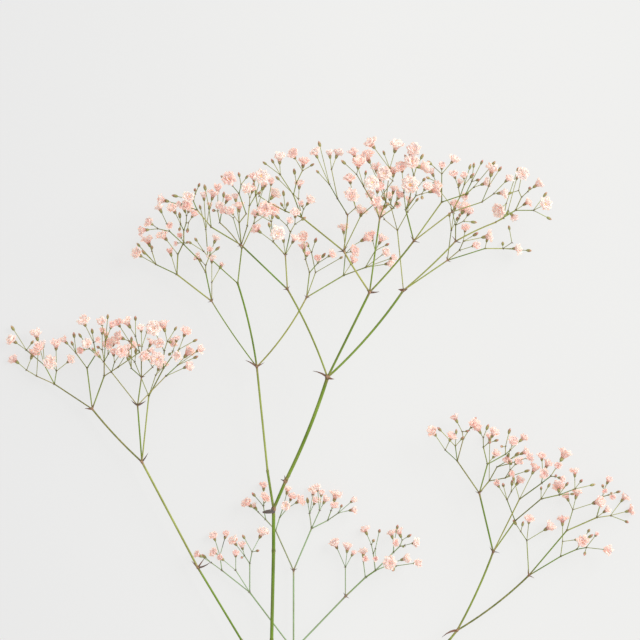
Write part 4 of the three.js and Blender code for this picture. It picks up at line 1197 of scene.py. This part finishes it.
# %% [markdown]
# ## Flower heads
#
# How many layers a flower has, and how far they open, depends on its width. The narrow ones have just
# broken open and hold a ragged brush of upright petals. The wide ones are full rosettes with a cream
# heart and yellow stamens, and they have mostly faded to a paler pink. A layer is a ring of petals:
# how many, how long they are as a share of the flower's longest, and how far they bend out, in
# degrees. A stage is the width at which it ends, its layers, and its longest petal as a share of the
# width. Every petal is then turned, tilted and sized by chance, because a tidy ring looks like a
# button.

# %% Layers of petals
BRUSH = [(5, 1.0, 45), (4, 0.95, 25), (3, 0.8, 8)]
HALF_OPEN = [(5, 1.0, 65), (5, 1.0, 45), (4, 0.9, 25), (3, 0.7, 8)]
OPEN = [(6, 1.0, 85), (6, 0.95, 65), (5, 0.85, 45), (4, 0.7, 25), (3, 0.5, 8)]
ROSETTE = [(7, 1.0, 85), (7, 0.9, 85), (7, 0.85, 65), (6, 0.72, 45), (4, 0.5, 25)]
STAGES = [(3.2, BRUSH, 1.3), (5.2, HALF_OPEN, 1.2), (6.5, OPEN, 0.95), (math.inf, ROSETTE, 0.8)]
FADING_WIDTH = 4
CLAW_REACH = 0.2
TILT_SPREAD, TURN_SPREAD = 12, 18
SHORTEST_PETAL, LONGEST_PETAL = 0.78, 1.12
HEART_WIDTH = 3.8
HEART_SIZE = (0.13, 0.13, 0.16)
HEART_HEIGHT = 0.36
HEART_TINT, STAMEN_TINT = 0.6, 1
STAMENS = 7
STAMEN_SIZE = 0.17
STAMEN_TURN = (-0.3, 0.3)
STAMEN_AWAY = (0.1, 0.2)
STAMEN_HEIGHT = (0.4, 0.52)


def lay_petal(body, bend, placed, tone):
    """Copies one of the petal shapes into a flower."""
    mesh = dice.choice(petal_shapes[bend]).copy()
    mesh.transform(placed)
    first = len(body.verts)
    body.from_mesh(mesh)
    bpy.data.meshes.remove(mesh)
    body.verts.ensure_lookup_table()
    grain_layer = body.verts.layers.float_vector[GRAIN]
    tone_layer = body.verts.layers.float[TONE]
    number = dice.random()
    for corner in body.verts[first:]:
        corner[grain_layer].z = number
        corner[tone_layer] = tone


def grow_blob(body, placed, radius, roundness, tint):
    blob = bmesh.ops.create_icosphere(body, subdivisions=roundness, radius=radius, matrix=placed)
    mark(body, blob["verts"], lambda corner: (0, 0, 0), dice.random(), tint)


def grow_heart(body, reach):
    """The pale middle of an open flower, with its stamens round it."""
    size = Matrix.Diagonal((*(reach * share for share in HEART_SIZE), 1))
    grow_blob(body, Matrix.Translation((0, 0, HEART_HEIGHT * reach)) @ size, 1, 2, HEART_TINT)
    for k in range(STAMENS):
        angle = 2 * math.pi * k / STAMENS + dice.uniform(*STAMEN_TURN)
        away = reach * dice.uniform(*STAMEN_AWAY)
        height = reach * dice.uniform(*STAMEN_HEIGHT)
        at = (away * math.cos(angle), away * math.sin(angle), height)
        grow_blob(body, Matrix.Translation(at), STAMEN_SIZE, 1, STAMEN_TINT)


def flower_head(width, roll, palest):
    """A flower at the origin that faces along Z, with its petals starting in the calyx."""
    body = new_body()
    tone = dice.uniform(palest, 1) ** (width / FADING_WIDTH)
    layers, share = next((layers, share) for widest, layers, share in STAGES if width < widest)
    reach = share * width
    for layer, (count, length, bend) in enumerate(layers):
        for k in range(count):
            turn = roll + 2 * math.pi * (k + 0.5 * layer) / count
            turn += math.radians(dice.uniform(-TURN_SPREAD, TURN_SPREAD))
            tilt = math.radians(dice.uniform(-TILT_SPREAD, TILT_SPREAD))
            size = reach * length * dice.uniform(SHORTEST_PETAL, LONGEST_PETAL)
            placed = (Matrix.Rotation(turn, 4, "Z") @ Matrix.Translation((0, CLAW_REACH, 0))
                      @ Matrix.Rotation(-tilt, 4, "X") @ Matrix.Scale(size, 4))
            lay_petal(body, bend, placed, tone)
    if width > HEART_WIDTH:
        grow_heart(body, reach)
    return body


print("petals on a full rosette:", sum(count for count, _, _ in ROSETTE))

# %% [markdown]
# ## Putting the plant together
#
# The plant is walked from its cut end upwards. Every stalk, joint and bract goes into the mesh of the
# spray that it belongs to, and so does every flower. One object for each flower would be easy to
# edit, but four hundred objects are slow to handle, and the solid model has one node for a small
# group of flowers anyway. So each spray has one mesh for its stems, one for its bracts, one for its
# calyces and buds, and one for its petals. Some stalks are stouter or finer than the number of their
# flowers tells, and two short lists say which. The spray behind the main stem is younger and paler,
# and the one on the right has deeper pink flowers. Thick stalks are mostly full green and the fine
# ones more often olive.

# %% Walk up the plant
SLOTS = {"stems": "stem", "bracts": "bract", "calyces": "calyx", "petals": "petal"}
HEAD_SEAT = 0.4
SET_BACK = 0.6
TABLE_GAP = 0.04
SPRAY_STOUTNESS = {"main_stem": 1.18, "branch_back": 1.1}
STALK_STOUTNESS = {
    (27, 66): 1.3, (65, 109.5): 1.25, (-18, 113): 1.3, (-31, 104): 0.7, (128, -33.5): 1.1,
}
YOUNG_SPRAY = "branch_back"
GREENING = 4.5
PEDICEL_TONES = (0.6, 1)
PALEST_FLOWER = {"branch_right": 0.7}
PALEST_ELSEWHERE = 0.25
sprays = {}


def bodies_of(name):
    if name not in sprays:
        sprays[name] = {kind: new_body() for kind in SLOTS}
    return sprays[name]


def youth_of(name):
    return int(name == YOUNG_SPRAY)


def place_flower(name, bloom, start):
    bodies = bodies_of(name)
    foot, axis = seat(bloom, start)
    if bloom.width:
        foot = along(foot, axis, -SET_BACK)
    stalk = pedicel_line(start, foot, axis)
    tone = dice.uniform(*PEDICEL_TONES) - youth_of(name)
    grow_stalk(bodies["stems"], stalk, PEDICEL_RADIUS, tone, PALE_JOINT)
    if not bloom.width:
        grow_bud(bodies["calyces"], foot, axis)
        return
    grow_calyx(bodies["calyces"], foot, axis, bloom.width, bloom.roll)
    head = flower_head(bloom.width, bloom.roll, PALEST_FLOWER.get(name, PALEST_ELSEWHERE))
    placed = Matrix.Translation(along(foot, axis, HEAD_SEAT * CALYX_LENGTH)) @ turned_to(axis)
    bmesh.ops.transform(head, matrix=placed, verts=head.verts)
    mesh = mesh_of(head, "head")
    bodies["petals"].from_mesh(mesh)
    bpy.data.meshes.remove(mesh)


def place_branch(branch, name):
    name = branch.name or name
    bodies = bodies_of(name)
    stoutness = STALK_STOUTNESS.get(branch.at[:2], SPRAY_STOUTNESS.get(name, 1))
    radius = stoutness * grown_radius(branch)
    steps = math.ceil(span(branch.parent.at, branch.at) / STALK_SPACING)
    line = stalk_line(branch.parent.at, branch.at, branch.bow, steps)
    tone = dice.random() ** (GREENING * radius) - youth_of(name)
    before, darkness = joint_darkness(branch.parent), joint_darkness(branch)
    grow_stalk(bodies["stems"], line, radius, tone, before, darkness, how_browned(branch))
    arriving = towards(line[-2], line[-1])
    grow_joint(bodies["stems"], branch.at, arriving, radius, tone, darkness)
    for bract_shape in bracts_of(branch, arriving):
        grow_bract(bodies["bracts"], branch.at, radius, *bract_shape)
    for child in branch.children:
        if is_flower(child):
            place_flower(name, child, branch.at)
        else:
            place_branch(child, name)


place_branch(STEM.children[0], "main_stem")
print("sprays:", len(sprays))

# %% [markdown]
# ## From bodies to pieces
#
# A finished piece sits at the origin with its place in its mesh, in metres, as the solid model's
# pieces do. Corners that would dip into the table are pressed flat on it, as a real petal is. All
# faces are turned outwards and shaded smooth. Then the solids that it stands for are hidden.

# %% Make a piece of each body
PLAN_MIDDLE = (23.6, -31.1)
TO_PART = Matrix.Scale(MM, 4) @ Matrix.Translation((-PLAN_MIDDLE[0], -PLAN_MIDDLE[1], 0))


def solids_of(name):
    return [node for node in frame["nodes"] if node == name or node.startswith(f"cyme_{name}_")]


def finish_piece(kind, name, body):
    for corner in body.verts:
        corner.co.z = max(corner.co.z, TABLE_GAP)
    bmesh.ops.recalc_face_normals(body, faces=body.faces)
    bmesh.ops.transform(body, matrix=TO_PART, verts=body.verts)
    mesh = mesh_of(body, f"{kind}_{name}")
    mesh.shade_smooth()
    piece = bpy.data.objects.new(f"{kind}_{name}", mesh)
    bpy.context.collection.objects.link(piece)
    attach(piece, "root")
    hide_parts(*solids_of(name))
    return piece


pieces = {kind: [] for kind in SLOTS}
for name, bodies in sprays.items():
    for kind, body in bodies.items():
        if body.faces:
            pieces[kind].append(finish_piece(kind, name, body))
for kind, made in pieces.items():
    faces = [len(piece.data.polygons) for piece in made]
    print(kind, "pieces:", len(made), "faces:", sum(faces), "most in one:", max(faces))

# %% [markdown]
# ## Tools for the finishes
#
# Each finish is a small network of nodes. Writing every node and link out makes a script hard to
# read, so a short class adds nodes and joins them. It has one method for each step used below: read
# a value or a place from the mesh, make noise, stretch noise into streaks along the grain, take one
# axis of a place, turn a number into a colour or into a share, mix two colours and raise a bump.

# %% A finish and its nodes
MIX_A, MIX_B, MIX_RESULT = 6, 7, 2


def colour(red, green, blue):
    """An everyday 0 to 255 colour, turned by the sRGB rule into the numbers of a shader."""
    def linear(value):
        share = value / 255
        return share / 12.92 if share <= 0.04045 else ((share + 0.055) / 1.055) ** 2.4
    return (linear(red), linear(green), linear(blue), 1)


class Finish:
    def __init__(self, name):
        self.material = bpy.data.materials.new(name)
        self.material.use_nodes = True
        self.tree = self.material.node_tree
        self.shader = self.tree.nodes["Principled BSDF"]

    def feed(self, node, inputs):
        """Gives a node its inputs: another node's output is joined to it, and a plain value is set."""
        for name, value in inputs.items():
            if isinstance(value, bpy.types.NodeSocket):
                self.tree.links.new(value, node.inputs[name])
            else:
                node.inputs[name].default_value = value

    def set(self, **values):
        self.feed(self.shader, {name.replace("_", " "): value for name, value in values.items()})

    def step(self, kind, output, inputs, **settings):
        """Adds a node with its inputs and settings, and gives back one of its outputs."""
        node = self.tree.nodes.new("ShaderNode" + kind)
        for name, value in settings.items():
            setattr(node, name, value)
        self.feed(node, inputs)
        return node.outputs[output]

    def attribute(self, name, output="Fac"):
        return self.step("Attribute", output, {}, attribute_name=name)

    def grain(self):
        return self.attribute(GRAIN, "Vector")

    def place(self):
        return self.step("TexCoord", "Object", {})

    def noise(self, vector, scale, detail):
        return self.step("TexNoise", "Fac", {"Vector": vector, "Scale": scale, "Detail": detail})

    def streaks(self, stretch, scale, detail):
        stretched = self.step("Mapping", "Vector", {"Vector": self.grain(), "Scale": stretch})
        return self.noise(stretched, scale, detail)

    def part_of(self, vector, axis):
        return self.step("SeparateXYZ", axis, {"Vector": vector})

    def ramp(self, factor, stops):
        node = self.tree.nodes.new("ShaderNodeValToRGB")
        elements = node.color_ramp.elements
        while len(elements) < len(stops):
            elements.new(0.5)
        for element, (place, shade) in zip(elements, stops):
            element.position, element.color = place, shade
        self.feed(node, {"Fac": factor})
        return node.outputs["Color"]

    def rise(self, value, start, end, most=1):
        """Goes from 0 to a most while a value goes from a start to an end, and stays there."""
        inputs = {"Value": value, "From Min": start, "From Max": end, "To Min": 0, "To Max": most}
        return self.step("MapRange", "Result", inputs)

    def mix(self, factor, first, second):
        inputs = {"Factor": factor, MIX_A: first, MIX_B: second}
        return self.step("Mix", MIX_RESULT, inputs, data_type="RGBA")

    def bump(self, height, distance, strength):
        inputs = {"Height": height, "Distance": distance, "Strength": strength}
        self.set(Normal=self.step("Bump", "Normal", inputs))

    def wear(self, kind):
        for piece in pieces[kind]:
            piece.data.materials.append(self.material)
        print(self.material.name, "nodes:", len(self.tree.nodes))


# %% [markdown]
# ## The stem's finish
#
# A fresh gypsophila stem is smooth, slightly waxy and yellow green. Its fine lengthwise ribs show
# only close up, so they are noise that is stretched along the stalk. The green drifts to olive on
# the thin outer stalks, and every joint is dull purple and brown.

# %% Stems
stem = Finish("stem_green")
patches = stem.noise(stem.place(), scale=45, detail=3)
ribs = stem.streaks((2.2, 2.2, 0.12), scale=2.4, detail=2)
green = stem.ramp(patches, [(0.3, colour(86, 120, 22)), (0.7, colour(128, 160, 50))])
olive = stem.ramp(patches, [(0.3, colour(160, 158, 72)), (0.7, colour(196, 196, 116))])
grown = stem.mix(stem.attribute(TONE), green, olive)
youth = stem.rise(stem.attribute(TONE), 0, -0.1, most=0.8)
plain = stem.mix(youth, grown, colour(168, 192, 152))
stains = stem.streaks((0.5, 0.5, 0.05), scale=1, detail=2)
stained = stem.mix(stem.rise(stains, 0.5, 0.62, most=0.4), plain, colour(116, 94, 76))
ribbed = stem.mix(stem.rise(ribs, 0.35, 0.7, most=0.3), stained, colour(86, 108, 30))
mottle = stem.noise(stem.place(), scale=700, detail=2)
joint_shade = stem.ramp(mottle, [(0.35, colour(100, 70, 56)), (0.65, colour(180, 138, 114))])
near_joint = stem.rise(stem.attribute(TINT), 0.1, 1, most=0.9)
stem.bump(ribs, distance=0.00008, strength=0.5)
stem.set(Base_Color=stem.mix(near_joint, ribbed, joint_shade), Roughness=0.55, Specular_IOR_Level=0.3)
stem.set(Subsurface_Weight=0.12, Subsurface_Scale=0.0006, Subsurface_Radius=(0.8, 1.0, 0.3))
stem.wear("stems")

# %% [markdown]
# ## The bract's finish
#
# A bract is dry and papery, anything from dark grey to brown, with paler, almost pink streaks along
# it and a darker tip.

# %% Bracts
bract = Finish("bract_paper")
streaks = bract.streaks((3, 3, 0.3), scale=2, detail=3)
paper = bract.mix(bract.attribute(TONE), colour(84, 80, 78), colour(124, 86, 68))
near_tip = bract.rise(bract.attribute(TINT), 0.3, 1, most=0.6)
darkened = bract.mix(near_tip, paper, colour(70, 50, 46))
streaked = bract.mix(bract.rise(streaks, 0.5, 0.75, most=0.6), darkened, colour(196, 158, 138))
bract.bump(streaks, distance=0.00006, strength=0.6)
bract.set(Base_Color=streaked, Roughness=0.8)
bract.wear("bracts")

# %% [markdown]
# ## The finish of calyces and buds
#
# Both start green at the foot. A calyx has five purple stripes that end in its dark teeth, and a bud
# goes on from there to a pink tip. The shade follows the height on the body, and noise that runs
# round it breaks the stripes up.

# %% Calyces and buds
calyx = Finish("calyx_green")
stripes = calyx.streaks((3, 3, 0.4), scale=1.6, detail=1)
by_height = calyx.ramp(calyx.attribute(TINT), [
    (0, colour(136, 148, 74)), (0.4, colour(166, 156, 98)),
    (0.65, colour(156, 122, 94)), (0.85, colour(226, 158, 144))])
striped = calyx.mix(calyx.rise(stripes, 0.47, 0.62, most=0.7), by_height, colour(100, 72, 58))
greenness = calyx.rise(calyx.attribute(TONE), 0, 1, most=0.4)
calyx.bump(stripes, distance=0.00008, strength=0.5)
calyx.set(Base_Color=calyx.mix(greenness, striped, colour(170, 180, 112)), Roughness=0.6)
calyx.set(Subsurface_Weight=0.15, Subsurface_Scale=0.0005)
calyx.wear("calyces")

# %% [markdown]
# ## The petal's finish
#
# Petals are so thin that light comes through them: in a crowd they glow, and no shadow among them is
# quite dark. Subsurface scattering gives some of that, and a little painted glow in the blade's
# colour lightens the shade among the petals. The claw end is darker, cream to deep coral: partly the
# petal's own colour and partly painted shade low in the tuft. The blade is pale pink, and some
# flowers are much deeper than others. Fine veins fan out from the claw. A stamen reads the same
# network, and its tint turns it yellow.

# %% Petals
petal = Finish("petal_pink")
veins = petal.streaks((5, 0.8, 40), scale=3, detail=2)
height = petal.part_of(petal.grain(), "Y")
# The claw end of both ramps is darker: partly the petal's own colour, partly painted shade low in the
# tuft.
pale = petal.ramp(height, [
    (0.2, colour(230, 174, 140)), (0.42, colour(244, 214, 200)),
    (0.75, colour(247, 227, 216)), (1, colour(247, 224, 214))])
deep = petal.ramp(height, [
    (0.2, colour(184, 92, 74)), (0.42, colour(226, 158, 145)),
    (0.75, colour(237, 191, 181)), (1, colour(235, 182, 173))])
flower_depth = petal.rise(petal.attribute(TONE), 0, 1, most=0.8)
petal_depth = petal.rise(petal.part_of(petal.grain(), "Z"), 0.5, 1, most=0.2)
blade = petal.mix(petal_depth, petal.mix(flower_depth, pale, deep), deep)
veined = petal.mix(petal.rise(veins, 0.5, 0.75, most=0.1), blade, colour(226, 140, 130))
heart = petal.ramp(petal.attribute(TINT), [(0.5, colour(246, 214, 150)), (1, colour(232, 186, 92))])
in_heart = petal.rise(petal.attribute(TINT), 0.1, 0.5)
petal.bump(veins, distance=0.00005, strength=0.4)
petal.set(Base_Color=petal.mix(in_heart, veined, heart), Roughness=0.65)
petal.set(Subsurface_Weight=0.85, Subsurface_Scale=0.0012, Subsurface_Radius=(1.0, 0.55, 0.45))
# Painted glow: the petals give off a little light in their blade colour, which lightens the shade
# among them.
petal.set(Emission_Color=blade, Emission_Strength=0.16)
petal.wear("petals")

# %% [markdown]
# ## Table, light and camera
#
# The stem lies on a light table, a pale plate that glows, and is seen from straight above. A plain
# white floor would show a web of shadows under so many stalks. Here most of the table's brightness is
# its own, so the shadows stay faint and the petals are lit from below too. The room is white and
# nearly even, and one very large soft lamp from the upper right gives the stalks a light and a dark
# side. A long lens far away keeps the raised flowers from looking larger than the low ones.

# %% The table
TABLE_SIZE = 60
bpy.ops.mesh.primitive_plane_add(size=TABLE_SIZE, location=(0, 0, 0))
table = bpy.context.object
table.name = "table"
table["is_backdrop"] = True

plate = Finish("glowing_plate")
mottle = plate.noise(plate.place(), scale=3, detail=2)
# Painted light: the plate's glow is a little dimmer towards the left, a painted falloff across the
# table.
painted_light_to_right = plate.rise(plate.part_of(plate.place(), "X"), -0.16, 0.02)
glow = plate.mix(painted_light_to_right, colour(217, 217, 217), colour(222, 222, 221))
plate.set(Base_Color=plate.ramp(mottle, [(0.3, colour(88, 88, 87)), (0.7, colour(91, 91, 90))]))
plate.set(Emission_Color=glow, Emission_Strength=1, Roughness=0.9)
table.data.materials.append(plate.material)

# %% The light
ROOM_STRENGTH = 0.72
LAMP_POWER = 80
LAMP_SIZE = 2.2
LAMP_PLACE = Vector((2.2, 1.4, 1.9))

world = bpy.data.worlds.new("white_room")
bpy.context.scene.world = world
world.use_nodes = True
room = world.node_tree.nodes["Background"]
room.inputs["Color"].default_value = colour(255, 254, 252)
room.inputs["Strength"].default_value = ROOM_STRENGTH

lamp_data = bpy.data.lights.new("large_soft_lamp", "AREA")
lamp_data.energy = LAMP_POWER
lamp_data.size = LAMP_SIZE
lamp = bpy.data.objects.new("large_soft_lamp", lamp_data)
bpy.context.collection.objects.link(lamp)
lamp.location = LAMP_PLACE
lamp.rotation_euler = (-LAMP_PLACE).to_track_quat("-Z", "Y").to_euler()

# %% The camera
PICTURE_MIDDLE = Vector((-0.35, 125.75, 20)) * MM
PICTURE_WIDTH = 0.32
LENS = 500
SENSOR = 36

camera_data = bpy.data.cameras.new("camera")
camera_data.lens = LENS
camera_data.sensor_width = SENSOR
camera = bpy.data.objects.new("camera", camera_data)
bpy.context.collection.objects.link(camera)
distance = PICTURE_WIDTH * LENS / SENSOR
camera.location = PICTURE_MIDDLE + Vector((0, 0, distance))
camera_data.clip_end = 2 * distance
bpy.context.scene.camera = camera
bpy.context.scene.view_settings.view_transform = "Standard"
print("camera height:", round(camera.location.z, 3), "m")

# %% [markdown]
# ## The last step
#
# The fine pieces must not make the plant larger than its solid model, so both boxes are printed.

# %% Print both sizes
dressed_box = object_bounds()
for name, (low, high) in (("solid", solid_box), ("dressed", dressed_box)):
    print(name, [round(value / MM, 1) for value in (*low, *high)])
